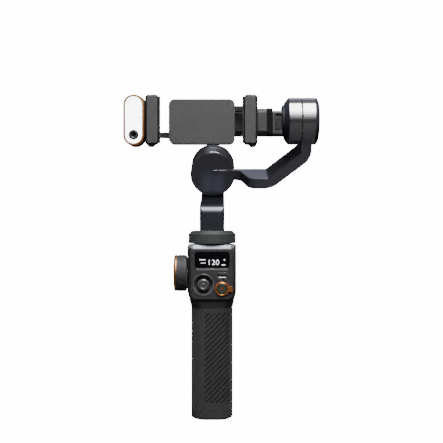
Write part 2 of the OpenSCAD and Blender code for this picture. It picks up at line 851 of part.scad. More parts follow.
// Thumb cap on its stem, with the hub and pins that turn in the yoke
module joystick_cap() color("#333236") {
    pin_end = yoke_w / 2 - skin;
    translate([stick_x, 0, stick_z]) {
        difference() {
            rotate([90, 0, 0]) rotate_extrude() polygon([
                [0, -stick_pivot], [stem_r, -stick_pivot], [stem_r, -stick_top - stick_t],
                [stick_r - proud, -stick_top - stick_t], [stick_r, -stick_top - stick_t + proud],
                [stick_r, -stick_top - proud], [stick_r - proud, -stick_top], [0, -stick_top]]);
            translate([0, stick_top - dish_ball_r + proud, 0]) sphere(r = dish_ball_r);
        }
        translate([0, stick_pivot, 0]) cube([hub_w, hub_t, hub_w], center = true);
        translate([0, stick_pivot, -pin_end]) cylinder(r = stick_pin_r, h = 2 * pin_end);
    }
}

module menu_button() color("#38373b") {
    translate([menu_x, 0, menu_z]) {
        difference() {
            panel_piece(panel_face - proud, button_back - panel_face + proud) pill(menu_w, menu_h);
            translate([-menu_w, panel_face - proud - scoop_r + scoop_deep, 0]) rotate([0, 90, 0])
                cylinder(r = scoop_r, h = 2 * menu_w);
        }
        panel_piece(button_back - skin, flange_t) pill(menu_w + 2 * flange_w, menu_h + 2 * flange_w);
        plunger(button_back);
    }
}
module plunger(from) {
    translate([0, from, 0]) rotate([-90, 0, 0]) cylinder(r = plunger_r, h = plunger_end - from);
}

// Push button in the middle of the zoom ring
module record_button() color("#39383b") {
    back = ring_back + flange_gap / 2;
    translate([record_x, 0, record_z]) {
        rotate([90, 0, 0]) rotate_extrude() polygon([
            [0, -back], [record_r, -back], [record_r, record_bevel - panel_face + ring_t - record_bevel],
            [record_r - record_bevel, record_bevel - panel_face + ring_t],
                [dot_r, record_bevel - panel_face + ring_t],
            [dot_r, -panel_face + ring_t], [0, -panel_face + ring_t]]);
        translate([0, back - skin, 0]) rotate([-90, 0, 0]) cylinder(r = record_r + flange_w, h = flange_t);
        plunger(back);
    }
}

// Lever ring round the record button, with its tab on the right
module zoom_ring() color("#d9772c") {
    top = panel_face - slip - ring_t;
    wall = ring_r - record_r - slip;
    translate([record_x, 0, record_z]) difference() {
        union() {
            translate([0, top, 0]) rotate([-90, 0, 0]) cylinder(r = ring_r, h = ring_t);
            translate([0, top, 0]) rotate([-90, 0, 0])
                cylinder(r = record_r + ring_wall - slip, h = button_back + skin - top);
            translate([0, button_back, 0]) rotate([-90, 0, 0]) cylinder(r = ring_r + slip, h = flange_t);
            translate([ring_r - wall, top, -tab_h / 2]) cube([tab_reach - ring_r + wall, ring_t, tab_h]);
        }
        translate([0, top - over, 0]) rotate([-90, 0, 0]) cylinder(r = record_r + slip, h = head_d / 2);
    }
}

// Side button above the control wheel; it is pushed in along +X
module side_button() color("#56555a") {
    w = 2 * switch_w * dish_share;
    h = proud * 4;
    translate([-head_w / 2 - side_proud, -wheel_fore, side_z]) rotate([90, 0, 90]) {
        linear_extrude(side_proud + wall_t + slip) pill(w, h);
        translate([0, 0, side_proud + wall_t + slip - skin]) linear_extrude(flange_t)
            pill(w + flange_t, h + flange_t);
    }
}

// Control wheel with a band of tread grooves
module control_wheel() color("#4b4a51") {
    hub_h = wheel_w - rim_w;
    tread_h = wheel_w * tread_share;
    translate([wheel_out + rim_w, -wheel_fore, wheel_z]) rotate([0, 90, 0]) difference() {
        rotate_extrude() polygon([[wheel_shaft_r + fit, 0], [wheel_r, 0], [wheel_r, hub_h - wheel_bevel],
            [wheel_r - wheel_bevel, hub_h], [wheel_shaft_r + fit, hub_h]]);
        for (i = [0:tread_n - 1]) rotate([0, 0, (i + 0.5) * 360 / tread_n])
            translate([wheel_r - tread_deep, -tread_w / 2, (hub_h - tread_h) / 2])
            cube([2 * tread_deep, tread_w, tread_h]);
    }
}

module wheel_rim() color("#c07a35") {
    translate([wheel_out, -wheel_fore, wheel_z]) rotate([0, 90, 0]) rotate_extrude() polygon([
        [wheel_shaft_r + fit, rim_w], [wheel_shaft_r + fit, rim_w / 2], [wheel_r * dish_share, rim_w / 2],
        [wheel_r * dish_share + rim_w / 4, 0], [wheel_r - wheel_bevel, 0], [wheel_r, wheel_bevel],
            [wheel_r, rim_w]]);
}

module wheel_shaft() color("#b9b9bd") {
    shaft_out = wheel_out + rim_w / 2;
    translate([shaft_out, -wheel_fore, wheel_z]) rotate([0, 90, 0]) {
        cylinder(r = wheel_shaft_r, h = shaft_in + slip + shaft_flange - shaft_out);
        translate([0, 0, shaft_in + slip - shaft_out]) cylinder(r = wheel_shaft_r * 1.5, h = shaft_flange);
    }
}

module trigger_side() {
    polygon(soften([[trigger_back - 2.2 * trigger_pin_r, trigger_z + 1.8 * trigger_pin_r],
        [head_d / 2 + proud, trigger_z + 1.8 * trigger_pin_r],
            [head_d / 2 + trigger_out, trigger_low + trigger_curl],
        [head_d / 2 + trigger_out / 2, trigger_low], [head_d / 2 - wall_t - trigger_in, trigger_low],
        [head_d / 2 - wall_t - trigger_in, trigger_z - trigger_curl],
        [trigger_back - 2.2 * trigger_pin_r, trigger_z - 1.8 * trigger_pin_r]],
        [for (r = [0.8, 0.6, 1, 0.32, 0.32, 0.8, 0.4]) r * trigger_round]));
}
module trigger() color("#2f2e31") {
    difference() {
        translate([-trigger_w / 2, 0, 0]) along_x(trigger_w) trigger_side();
        translate([-trigger_w, trigger_back, trigger_z]) rotate([0, 90, 0])
            cylinder(r = trigger_pin_r + run, h = 2 * trigger_w);
        translate([-coil_w / 2 - slip, trigger_back - coil_box, trigger_z - coil_box])
            cube([coil_w + 2 * slip, 2 * coil_box, 2 * coil_box]);
    }
}

module trigger_pin() color("#b9b9bd") {
    pin_len = trigger_w + 2 * trigger_gap + 2 * boss_t;
    translate([-pin_len / 2, trigger_back, trigger_z]) rotate([0, 90, 0])
        cylinder(r = trigger_pin_r, h = pin_len);
}

// Torsion spring on the trigger's pin, a short stack of turns with one straight leg
module trigger_spring() color("#a8a8ac") {
    translate([-coil_w / 2, trigger_back, trigger_z]) rotate([0, 90, 0]) {
        difference() {
            cylinder(r = trigger_pin_r + slip + 2 * coil_wire, h = coil_w);
            translate([0, 0, -over]) cylinder(r = trigger_pin_r + slip, h = coil_w + 2 * over);
            for (z = [coil_wire:2 * coil_wire:coil_w - coil_wire]) translate([0, 0, z]) difference() {
                cylinder(r = coil_box, h = coil_wire / 2);
                translate([0, 0, -over]) cylinder(r = trigger_pin_r + slip + coil_wire, h = 3 * over);
            }
        }
        translate([-coil_wire / 2, trigger_pin_r + slip, 0])
            cube([coil_wire, coil_box - trigger_pin_r - 2 * slip, coil_wire]);
    }
}

// Motor parts in a frame of their own: +Z is the shaft, and the bell starts
// one seam above Z = 0, the face of the housing that holds the stator.
module core_low_to(bell_h) {
    translate([0, 0, seam + core_off]) linear_extrude(bell_h - bell_floor - 2 * core_off) children();
}
module stator(bell_r, bell_h) {
    tip_r = bell_r - bell_t - magnet_t - air_gap;
    difference() {
        union() {
            translate([0, 0, -plate_t - tube_below])
                cylinder(r = tube_r, h = plate_t + tube_below + seam + bell_h - bell_floor - core_off);
            translate([0, 0, -plate_t - stator_flange]) cylinder(r = flange_r, h = stator_flange);
            core_low_to(bell_h) difference() {
                circle(tip_r);
                for (i = [0:slots - 1]) rotate(i * 360 / slots) {
                    translate([tip_r - slot_r - core_off, 0]) circle(slot_r);
                    translate([tip_r - slot_r - core_off, -slot_gap / 2])
                        square([slot_r + core_off + over, slot_gap]);
                }
            }
        }
        translate([0, 0, -plate_t - tube_below - over])
            cylinder(r = bearing_r + fit, h = plate_t + tube_below + seam + bell_h + over);
    }
}
module bearing_pair(bell_h) {
    for (z = [-plate_t - tube_below, seam + bell_h - bell_floor - core_off - bearing_t])
        translate([0, 0, z]) difference() {
            cylinder(r = bearing_r, h = bearing_t);
            translate([0, 0, -over]) cylinder(r = shaft_r + run, h = bearing_t + 2 * over);
        }
}
module motor_shaft(bell_h) {
    translate([0, 0, -plate_t - tube_below - shaft_tail])
        cylinder(r = shaft_r, h = plate_t + tube_below + shaft_tail + seam + bell_h - bell_floor);
}
module magnet_ring(bell_r, bell_h) {
    out_r = bell_r - bell_t - fit;
    core_low_to(bell_h) difference() {
        circle(out_r);
        circle(bell_r - bell_t - magnet_t);
        for (i = [0:magnets - 1]) rotate((i + 0.5) * 360 / magnets) translate([0, -magnet_gap / 2])
            square([bell_r, magnet_gap]);
    }
}
module bell(bell_r, bell_h, bevel) {
    in_r = bell_r - bell_t;
    translate([0, 0, seam]) rotate_extrude() polygon([
        [in_r, 0], [bell_r - bell_lip, 0], [bell_r, bell_lip], [bell_r, bell_h - bevel],
        [bell_r - bevel, bell_h], [0, bell_h], [0, bell_h - bell_floor], [in_r, bell_h - bell_floor]]);
}
// Cup-shaped housing below the bell: its plate carries the stator
module housing(r, h) {
    rotate_extrude() polygon([[0, -h], [r, -h], [r, -bell_lip], [r - bell_lip, 0], [0, 0]]);
}
module housing_hollow(r, h) {
    translate([0, 0, -h - over]) cylinder(r = r - bell_t, h = h - plate_t + over);
    translate([0, 0, -h - over]) cylinder(r = tube_r + fit, h = h + 2 * over);
}
module end_cap(r, h) {
    translate([0, 0, -h - cap_t]) {
        rotate_extrude() polygon(concat([[0, 0]],
            [for (i = [0:arc_n]) [r - cap_round + cap_round * sin(i * 90 / arc_n),
                cap_round - cap_round * cos(i * 90 / arc_n)]],
            [[r, cap_t], [0, cap_t]]));
        cylinder(r = r - bell_t - fit, h = cap_t + cap_lip);
    }
}

// Where each motor's frame lies
module pan_place() { translate([0, 0, head_top]) children(); }
module roll_frame() { translate([0, roll_y, roll_z]) rotate([roll_rise, 0, 0]) children(); }
module roll_place() { roll_frame() translate([0, house_a, 0]) rotate([90, 0, 0]) children(); }
module tilt_place() { roll_frame() translate([tilt_x, tilt_a, tilt_rise]) rotate([0, -90, 0]) children(); }

module pan_cap() color("#2f3534") { pan_place() bell(pan_r, pan_h, pan_bevel); }
module pan_magnets() color("#8f8f93") { pan_place() magnet_ring(pan_r, pan_h); }
module pan_shaft() color("#b9b9bd") { pan_place() motor_shaft(pan_h); }
module pan_stator() color("#b5763a") { pan_place() stator(pan_r, pan_h); }
module pan_bearings() color("#c4c4c8") { pan_place() bearing_pair(pan_h); }

module roll_rotor() color("#3a383c") { roll_place() bell(pan_r, roll_bell_h, bell_lip); }
module roll_magnets() color("#8f8f93") { roll_place() magnet_ring(pan_r, roll_bell_h); }
module roll_shaft() color("#b9b9bd") { roll_place() motor_shaft(roll_bell_h); }
module roll_stator() color("#b5763a") { roll_place() stator(pan_r, roll_bell_h); }
module roll_bearings() color("#c4c4c8") { roll_place() bearing_pair(roll_bell_h); }
module roll_end_cap() color("#343236") { roll_place() end_cap(pan_r, roll_house_h); }

module tilt_rotor() color("#3a383c") {
    tilt_place() {
        bell(tilt_r, tilt_bell_h, bell_bevel);
        translate([0, 0, seam + tilt_bell_h - skin]) cylinder(r = boss_r, h = boss_h + skin);
    }
}
module tilt_magnets() color("#8f8f93") { tilt_place() magnet_ring(tilt_r, tilt_bell_h); }
module tilt_shaft() color("#b9b9bd") { tilt_place() motor_shaft(tilt_bell_h); }
module tilt_stator() color("#b5763a") { tilt_place() stator(tilt_r, tilt_bell_h); }
module tilt_bearings() color("#c4c4c8") { tilt_place() bearing_pair(tilt_bell_h); }
module tilt_end_cap() color("#343236") { tilt_place() end_cap(tilt_r, tilt_house_h); }

// Neck: rises from the pan cap and goes back under the roll motor
module neck_side() {
    foot = head_top + seam + pan_h;
    polygon(soften([for (p = neck_shares) [neck_front + p[0] * neck_reach, foot + p[1] * neck_rise]],
        [for (p = neck_shares) p[2] * neck_round]));
}
module neck_arm() color("#2c2e31") {
    difference() {
        union() {
            translate([-neck_w / 2, 0, 0]) along_x(neck_w) neck_side();
            roll_place() housing(pan_r, roll_house_h);
        }
        for (s = [-1, 1]) translate([s * neck_w / 2, neck_front, head_top]) rotate([0, 0, 45])
            cube([neck_bevel * sqrt(2), neck_bevel * sqrt(2), 2 * head_w], center = true);
        roll_place() {
            housing_hollow(pan_r, roll_house_h);
            cylinder(r = pan_r + over, h = roll_bell_h + seam);
            translate([0, 0, -roll_house_h - neck_reach]) cylinder(r = 2 * pan_r, h = neck_reach);
        }
    }
}

// Outline of the roll arm, seen along the roll axis, from start to the tilt axis
module arm_outline(start, top) {
    half_t = arm_t / 2;
    low_off = half_t * tan(arm_rise / 2);
    high_off = half_t * tan((90 - arm_rise) / 2);
    upright_x = tilt_x + half_t;
    high = (upright_x - bend_x) * tan(arm_rise);
    polygon(soften([[start, -half_t], [bend_x + low_off, -half_t], [upright_x + half_t, high - high_off],
        [upright_x + half_t, top], [upright_x - half_t, top], [upright_x - half_t, high + high_off],
        [bend_x - low_off, half_t], [start, half_t]],
            [0, bend_low_r, bend_high_r, 0, 0, inner_r, inner_r, 0]));
}

// Plan of the arm behind the clamp, where it goes back to the roll motor
module arm_plan() {
    polygon(soften([[0, bar_front], [bar_flare * flare_share, bar_front], [bar_flare, 0], [plan_end, 0],
        [plan_end, arm_d], [0, arm_d]], [0, plan_r, plan_r, 0, 0, 0]));
}

module roll_arm() color("#333136") {
    roll_frame() difference() {
        union() {
            along_y(arm_d - cover_t) arm_outline(bar_start, tilt_rise);
            translate([0, 0, -arm_t / 2]) linear_extrude(arm_t) arm_plan();
            translate([0, roll_start - hub_plate, 0]) rotate([-90, 0, 0])
                cylinder(r = pan_r, h = hub_plate);
            translate([tilt_x, tilt_a, tilt_rise]) rotate([0, -90, 0]) housing(tilt_r, tilt_house_h);
        }
        translate([tilt_x, tilt_a, tilt_rise]) rotate([0, -90, 0]) housing_hollow(tilt_r, tilt_house_h);
    }
}

module arm_cover() color("#3a393d") {
    roll_frame() translate([0, arm_d - cover_t, 0]) along_y(cover_t)
        intersection() {
            arm_outline(bar_start, tilt_rise - tilt_r * cover_share);
            translate([plan_end + fit, -tilt_rise]) square([tilt_x, 3 * tilt_rise]);
        }
}

// Section of the stem, seen along the X axis: depth across, height up
module stem_section(grow, drop) {
    translate([stem_front + stem_d / 2, clamp_z + stem_up - drop / 2]) rounded(stem_d + 2 * grow,
        stem_h + 2 * grow - drop, stem_r2);
}

// Stem: the tilt motor's block with its raised collar and the pocket of the latch
module tilt_stem() color("#47464a") {
    difference() {
        union() {
            translate([collar_end - skin, 0, 0]) along_x(stem_len + skin + fit) stem_section(0, stem_drop);
            translate([collar_start, 0, 0]) along_x(collar_len) stem_section(collar_proud, 0);
        }
        translate([latch_x - latch_w / 2 - slip, stem_front - over, latch_z - slip])
            cube([latch_w + 2 * slip, over + latch_deep, latch_h + latch_travel + 2 * slip]);
        tilt_place() translate([0, 0, -over]) cylinder(r = tilt_r + over,
            h = seam + tilt_bell_h + boss_h + over);
    }
}

module lock_latch() color("#39383b") {
    difference() {
        translate([latch_x - latch_w / 2, stem_front - latch_t + latch_deep - slip, latch_z])
            cube([latch_w, latch_t, latch_h]);
        for (s = [-1, 1]) translate([latch_x - latch_w * dish_share / 2, stem_front - latch_t,
            latch_z + latch_h / 2 + s * groove_w - groove_w / 4]) cube([latch_w * dish_share, groove_w,
                groove_w / 2]);
    }
}

// Bracket that reaches behind the clamp and carries its pivot
module clamp_bracket() color("#4c4b50") {
    len = collar_start - bracket_start;
    mid = clamp_z + stem_up;
    difference() {
        union() {
            translate([bracket_start, 0, 0]) along_x(len) polygon([
                [stem_front, mid - stem_h / 2 + bracket_bevel],
                    [stem_front + bracket_bevel, mid - stem_h / 2],
                [stem_front + stem_d - bracket_bevel / 2, mid - stem_h / 2],
                    [stem_front + stem_d, mid - stem_h / 2 + bracket_bevel / 2],
                [stem_front + stem_d, mid + stem_h / 2 - bracket_bevel / 2],
                    [stem_front + stem_d - bracket_bevel / 2, mid + stem_h / 2],
                [stem_front + bracket_bevel, mid + stem_h / 2],
                    [stem_front, mid + stem_h / 2 - bracket_bevel]]);
            translate([clamp_x, stem_front, mid - stem_h / 2 + bracket_bevel])
                cube([bracket_start + over - clamp_x, bracket_d, stem_h - 2 * bracket_bevel]);
            translate([clamp_x, stem_front, clamp_z]) rotate([-90, 0, 0])
                cylinder(r = stem_h / 2, h = bracket_d);
        }
        translate([clamp_x, stem_front - over, clamp_z]) rotate([-90, 0, 0])
            cylinder(r = pivot_r + run, h = stem_d + 2 * over);
        translate([clamp_x, stem_front + bracket_d - pin_head_t, clamp_z]) rotate([-90, 0, 0])
            cylinder(r = pin_head_r + slip, h = stem_d);
    }
}

// Pin that the clamp turns on: fixed in the back plate, with its head behind the bracket
module pivot_pin() color("#b4b4b8") {
    translate([clamp_x, 0, clamp_z]) rotate([-90, 0, 0]) {
        translate([0, 0, back_y - back_t + fit])
            cylinder(r = pivot_r, h = stem_front + bracket_d - pin_head_t + slip - back_y + back_t);
        translate([0, 0, stem_front + bracket_d - pin_head_t + slip])
            cylinder(r = pin_head_r, h = pin_head_t);
    }
}

// Clamp body: a tray with a channel for each rack and a pocket for the pinion
module clamp_body() color("#454448") {
    translate([clamp_x, 0, clamp_z]) {
        difference() {
            panel_piece(clamp_y, body_d - back_t) rounded(2 * body_half, body_h, body_r);
            for (s = [-1, 1])
                translate([-body_half - over, channel_front,
                s > 0 ? bar_low - bar_gap : -bar_top - bar_gap])
                cube([2 * body_half + 2 * over, body_d, bar_top - bar_low + 2 * bar_gap]);
            translate([0, channel_front, 0]) rotate([-90, 0, 0])
                cylinder(r = pitch_r + gear_m * tip_share + 2 * bar_gap, h = body_d);
        }
        translate([0, channel_front - skin, 0]) rotate([-90, 0, 0])
            cylinder(r = post_pin_r, h = plate_front - channel_front + skin);
    }
}

module clamp_back_plate() color("#3c3b3f") {
    translate([clamp_x, 0, clamp_z]) difference() {
        panel_piece(plate_front, back_t) rounded(2 * body_half, body_h, body_r);
        translate([0, plate_front - over, 0]) rotate([-90, 0, 0])
            cylinder(r = pivot_r + fit, h = back_t + 2 * over);
    }
}

// Involute outline of the pinion
function lean(angle) = tan(angle) * 180 / PI - angle;
function half_tooth(r) = tooth_w / pitch_r / 2 * 180 / PI + lean(pressure) - lean(acos(min(1,
    base_r / max(r, base_r))));
function spoke(r, a) = r * [cos(a), sin(a)];

module pinion() color("#c9c2a8") {
    translate([clamp_x, channel_front + bar_gap, clamp_z]) difference() {
        union() {
            along_y(gear_t) polygon(pinion_points);
            rotate([-90, 0, 0])
                cylinder(r = post_pin_r + over, h = plate_front - channel_front - 2 * bar_gap);
        }
        translate([0, -over, 0]) rotate([-90, 0, 0]) cylinder(r = post_pin_r + run, h = body_d);
    }
}

// Flat spiral spring that draws the jaws together
function coil(turn, off) = spoke(spring_in + (spring_out - spring_in) * turn / spring_turns + off,
    turn * 360);
module clamp_spring() color("#8f9196") {
    n = spring_turns * spring_steps;
    translate([clamp_x, channel_front + bar_gap + gear_t, clamp_z])
        along_y(plate_front - channel_front - 2 * bar_gap - gear_t) polygon(concat(
            [for (i = [0:n]) coil(i / spring_steps, -spring_w / 2)],
            [for (i = [n:-1:0]) coil(i / spring_steps, spring_w / 2)]));
}

// Rack: a bar above the pinion with teeth on its lower side, gap over the pinion's top tooth
module rack_outline(from, to) {
    low = pitch_r - gear_m * tip_share;
    high = pitch_r + gear_m * root_share;
    root_w = tooth_w + 2 * gear_m * root_share * tan(pressure);
    tip_w = tooth_w - 2 * gear_m * tip_share * tan(pressure);
    first = ceil((from + root_w / 2) / tooth_pitch - 0.5);
    last = floor((jaw_out + 2 * gear_m) / tooth_pitch);
    polygon(concat([[from, bar_top], [from, high]],
        [for (k = [first:last]) let (mid = (k + 0.5) * tooth_pitch)
            each [[mid - root_w / 2, high], [mid - tip_w / 2, low], [mid + tip_w / 2, low],
                [mid + root_w / 2, high]]],
        [[to, high], [to, bar_top]]));
}

// Right jaw in the clamp's own frame: rack, wall and bevelled lip
module jaw() {
    wall_in = grasp_half + pad_t;
    wall_out = grasp_half + jaw_w;
    lip_in = grasp_half - lip_over + pad_t;
    mid = (lip_in + wall_out) / 2;
    panel_piece(channel_front + bar_gap, plate_front - channel_front - 2 * bar_gap)
        rack_outline(-jaw_in - 2 * gear_m, wall_in + over);
    translate([(wall_in + wall_out) / 2, 0, 0]) panel_piece(lip_back - skin, jaw_back - lip_back + skin)
        rounded(wall_out - wall_in, jaw_h, jaw_r);
    hull() {
        panel_piece(lip_front + lip_bevel, lip_t - lip_bevel) translate([mid, 0])
            rounded(wall_out - lip_in, jaw_h, jaw_r, $fn = hull_fn);
        panel_piece(lip_front, skin) translate([mid - lip_bevel / 4, 0])
            rounded(wall_out - lip_in - lip_bevel * 1.5, jaw_h - 2 * lip_bevel, jaw_r - over,
                $fn = hull_fn);
    }
}
module pad() {
    lip_in = grasp_half - lip_over;
    pad_h = jaw_h - 2 * lip_bevel;
    translate([grasp_half, lip_back, -pad_h / 2]) cube([pad_t - fit, clamp_y - lip_back, pad_h]);
    translate([lip_in, lip_back + fit, -pad_h / 2]) cube([lip_over + fit, pad_t / 2 - fit, pad_h]);
    translate([lip_in, lip_front + lip_bevel / 2, -pad_h / 2])
        cube([pad_t - fit, lip_back - lip_front - lip_bevel / 2 + pad_t / 2, pad_h]);
}
module on_clamp(side) {
    translate([clamp_x, 0, clamp_z]) rotate([0, side > 0 ? 0 : 180, 0]) children();
}
module right_jaw() color("#5a5a5d") { on_clamp(1) jaw(); }
module left_jaw() color("#5a5a5d") { on_clamp(-1) jaw(); }
module right_pad() color("#2a292c") { on_clamp(1) pad(); }
module left_pad() color("#2a292c") { on_clamp(-1) pad(); }

// Sensor and fill-light module on the outer side of the left jaw
module sensor_slab(y, len, inset) {
    translate([sensor_x, 0, sensor_z]) panel_piece(y, len) pill(sensor_w - 2 * inset, sensor_h - 2 * inset);
}
module sensor_body() color("#2b2a2c") {
    difference() {
        sensor_slab(sensor_face_y + sensor_rim_d, sensor_d, sensor_side);
        translate([sensor_x, sensor_face_y + sensor_rim_d + dot_in, sensor_z - sensor_h / 2 + over / 2])
            rotate([180, 0, 0]) cylinder(r = dot_r, h = 2 * over);
    }
}
module sensor_rim() color("#c98a3f") {
    difference() {
        union() {
            hull() {
                sensor_slab(sensor_face_y, skin, rim_bevel, $fn = hull_fn);
                sensor_slab(sensor_face_y + rim_bevel, skin, 0, $fn = hull_fn);
            }
            sensor_slab(sensor_face_y + rim_bevel, sensor_rim_d - rim_bevel, 0);
        }
        sensor_slab(sensor_face_y - over, sensor_face_t + over + face_sunk, sensor_rim_t);
    }
}
module sensor_face() color("white") {
    difference() {
        sensor_slab(sensor_face_y + face_sunk, sensor_face_t, sensor_rim_t + fit);
        lens_place() cylinder(r = lens_r + fit, h = 4 * sensor_face_t, center = true);
    }
}
module lens_place() {
    translate([sensor_x, sensor_face_y + face_sunk, sensor_z - sensor_h / 2 + lens_up])
        rotate([90, 0, 0]) children();
}
module sensor_lens() color("#151518") {
    lens_place() rotate_extrude() polygon([[0, -sensor_face_t], [lens_r, -sensor_face_t], [lens_r, 0],
        [lens_r - lens_bevel, lens_bevel], [lens_glass_r + lens_bevel, lens_bevel],
            [lens_glass_r, -lens_bevel], [0, -lens_bevel]]);
}

handle_front_shell();
handle_rear_shell();
front_panel();
grip_sleeve();
base_cap();
tripod_insert();
battery_cell();
main_board();
screen_glass();
light_bar();
handle_screws();
trigger_pin();
joystick_base();
pan_stator();
pan_bearings();
control_wheel();
wheel_rim();
wheel_shaft();
menu_button();
record_button();
zoom_ring();
side_button();
joystick_yoke();
joystick_cap();
trigger();
trigger_spring();
pan_cap();
pan_magnets();
pan_shaft();
neck_arm();
roll_end_cap();
roll_stator();
roll_bearings();
roll_rotor();
roll_magnets();
roll_shaft();
roll_arm();
arm_cover();
tilt_end_cap();
tilt_stator();
tilt_bearings();
tilt_rotor();
tilt_magnets();
tilt_shaft();
tilt_stem();
clamp_bracket();
pivot_pin();
lock_latch();
clamp_body();
clamp_back_plate();
pinion();
clamp_spring();
left_jaw();
right_jaw();
left_pad();
right_pad();
sensor_body();
sensor_rim();
sensor_face();
sensor_lens();
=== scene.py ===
# %% [markdown]
# # A handheld stabiliser, dressed
# The measured model of this product is a set of plain solids, one for each piece, each riding on
# the body that carries it. This notebook gives those solids their looks: finishes first, then the
# pieces that need softer edges, finer detail or a different surface, and at the end the light and
# the camera. Everything is in metres, +Z is up and the controls face -Y.

# %% Load the measured model
import json
from math import cos, pi, radians, sin

import bpy
from mathutils import Matrix, Vector

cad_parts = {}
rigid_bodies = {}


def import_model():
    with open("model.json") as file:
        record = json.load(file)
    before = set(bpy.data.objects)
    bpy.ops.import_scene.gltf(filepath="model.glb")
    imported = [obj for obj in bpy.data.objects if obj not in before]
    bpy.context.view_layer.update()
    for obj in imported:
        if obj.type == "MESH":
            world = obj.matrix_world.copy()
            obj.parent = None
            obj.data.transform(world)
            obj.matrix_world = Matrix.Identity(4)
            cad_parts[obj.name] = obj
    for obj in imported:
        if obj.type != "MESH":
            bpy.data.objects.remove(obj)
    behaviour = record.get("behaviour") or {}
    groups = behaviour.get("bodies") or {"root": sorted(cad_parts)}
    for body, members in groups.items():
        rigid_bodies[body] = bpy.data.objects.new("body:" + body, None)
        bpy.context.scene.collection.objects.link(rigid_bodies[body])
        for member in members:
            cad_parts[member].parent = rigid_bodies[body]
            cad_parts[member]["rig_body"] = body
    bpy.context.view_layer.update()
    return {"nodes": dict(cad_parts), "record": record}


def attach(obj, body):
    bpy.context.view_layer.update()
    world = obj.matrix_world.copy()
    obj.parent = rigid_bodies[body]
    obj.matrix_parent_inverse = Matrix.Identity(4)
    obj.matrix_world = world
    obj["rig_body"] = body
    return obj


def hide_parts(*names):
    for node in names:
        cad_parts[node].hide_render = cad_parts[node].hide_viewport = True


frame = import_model()
nodes = frame["nodes"]

# %% [markdown]
# ## A small language for finishes
# A finish is a node tree, and drawing one by hand in code is long and hard to read. So one small
# class wraps a socket and answers to + - * /, which adds Math nodes behind the scenes, and one
# method makes any other node: its type, its settings and what goes into its sockets. Numbers that
# are the same all over a piece go straight onto the shader, because a node would only hide them.

# %% Sockets that can be added and multiplied
class Wire:
    def __init__(self, finish, socket):
        self.finish, self.socket = finish, socket

    def _maths(self, operation, *values):
        return self.finish.node("ShaderNodeMath", {"operation": operation}, dict(enumerate(values)))

    def __add__(self, other):
        return self._maths("ADD", self, other)

    def __sub__(self, other):
        return self._maths("SUBTRACT", self, other)

    def __rsub__(self, other):
        return self._maths("SUBTRACT", other, self)

    def __mul__(self, other):
        return self._maths("MULTIPLY", self, other)

    def __truediv__(self, other):
        return self._maths("DIVIDE", self, other)

    def above(self, limit, soft):
        """0 below the limit and 1 above it, with a soft step between."""
        return self.finish.node("ShaderNodeMapRange", {"interpolation_type": "SMOOTHSTEP"},
                                {0: self, 1: limit - soft, 2: limit + soft})

    __radd__ = __add__
    __rmul__ = __mul__


# %% A finish is a material with one shader
EDGE_GAIN = 6


class Finish:
    def __init__(self, name, **constants):
        self.material = bpy.data.materials.new(name)
        self.material.use_nodes = True
        self.tree = self.material.node_tree
        self.shader = self.tree.nodes["Principled BSDF"]
        for socket, value in constants.items():
            self.shader.inputs[socket.replace("_", " ")].default_value = value

    def node(self, kind, settings=None, inputs=None, out=0):
        made = self.tree.nodes.new(kind)
        for key, value in (settings or {}).items():
            if key == "stops":
                self._ramp(made.color_ramp, value)
            else:
                setattr(made, key, value)
        for key, value in (inputs or {}).items():
            if isinstance(value, Wire):
                self.tree.links.new(value.socket, made.inputs[key])
            else:
                made.inputs[key].default_value = value
        return Wire(self, made.outputs[out])

    def _ramp(self, ramp, stops):
        while len(ramp.elements) < len(stops):
            ramp.elements.new(0.5)
        for element, (position, colour) in zip(ramp.elements, stops):
            element.position, element.color = position, (*colour, 1)

    def feed(self, **wires):
        for socket, wire in wires.items():
            self.tree.links.new(wire.socket, self.shader.inputs[socket.replace("_", " ")])
        return self.material

    def place(self, scale=(1, 1, 1), turn=(0, 0, 0), move=(0, 0, 0)):
        """Where a point of the piece is, in its own metres."""
        where = self.node("ShaderNodeTexCoord", out="Object")
        return self.node("ShaderNodeMapping", {}, {"Vector": where, "Scale": scale, "Rotation": turn,
                                                   "Location": move})

    def noise(self, size, detail=2.0, rough=0.5, **mapping):
        """Cloudy values from 0 to 1, with blobs about as large as size."""
        return self.node("ShaderNodeTexNoise", {}, {"Vector": self.place(**mapping), "Scale": 1 / size,
                                                    "Detail": detail, "Roughness": rough})

    def mix(self, factor, first, second):
        return self.node("ShaderNodeMix", {"data_type": "RGBA"}, {0: factor, 6: first, 7: second}, out=2)

    def edges(self, radius):
        """1 along the outer edges of a piece and 0 on its faces."""
        soft = self.node("ShaderNodeBevel", {"samples": 4}, {"Radius": radius})
        flat = self.node("ShaderNodeNewGeometry", out="Normal")
        same = self.node("ShaderNodeVectorMath", {"operation": "DOT_PRODUCT"},
                         {0: soft, 1: flat}, out="Value")
        return (1 - same) * EDGE_GAIN

    def relief(self, height, depth, soften=0.00025):
        """A bump of that depth, over edges that are eased a little."""
        eased = self.node("ShaderNodeBevel", {"samples": 3}, {"Radius": soften})
        return self.node("ShaderNodeBump", {}, {"Height": height, "Distance": depth, "Strength": 1.0,
                                                "Normal": eased})


print("finish helpers are ready")
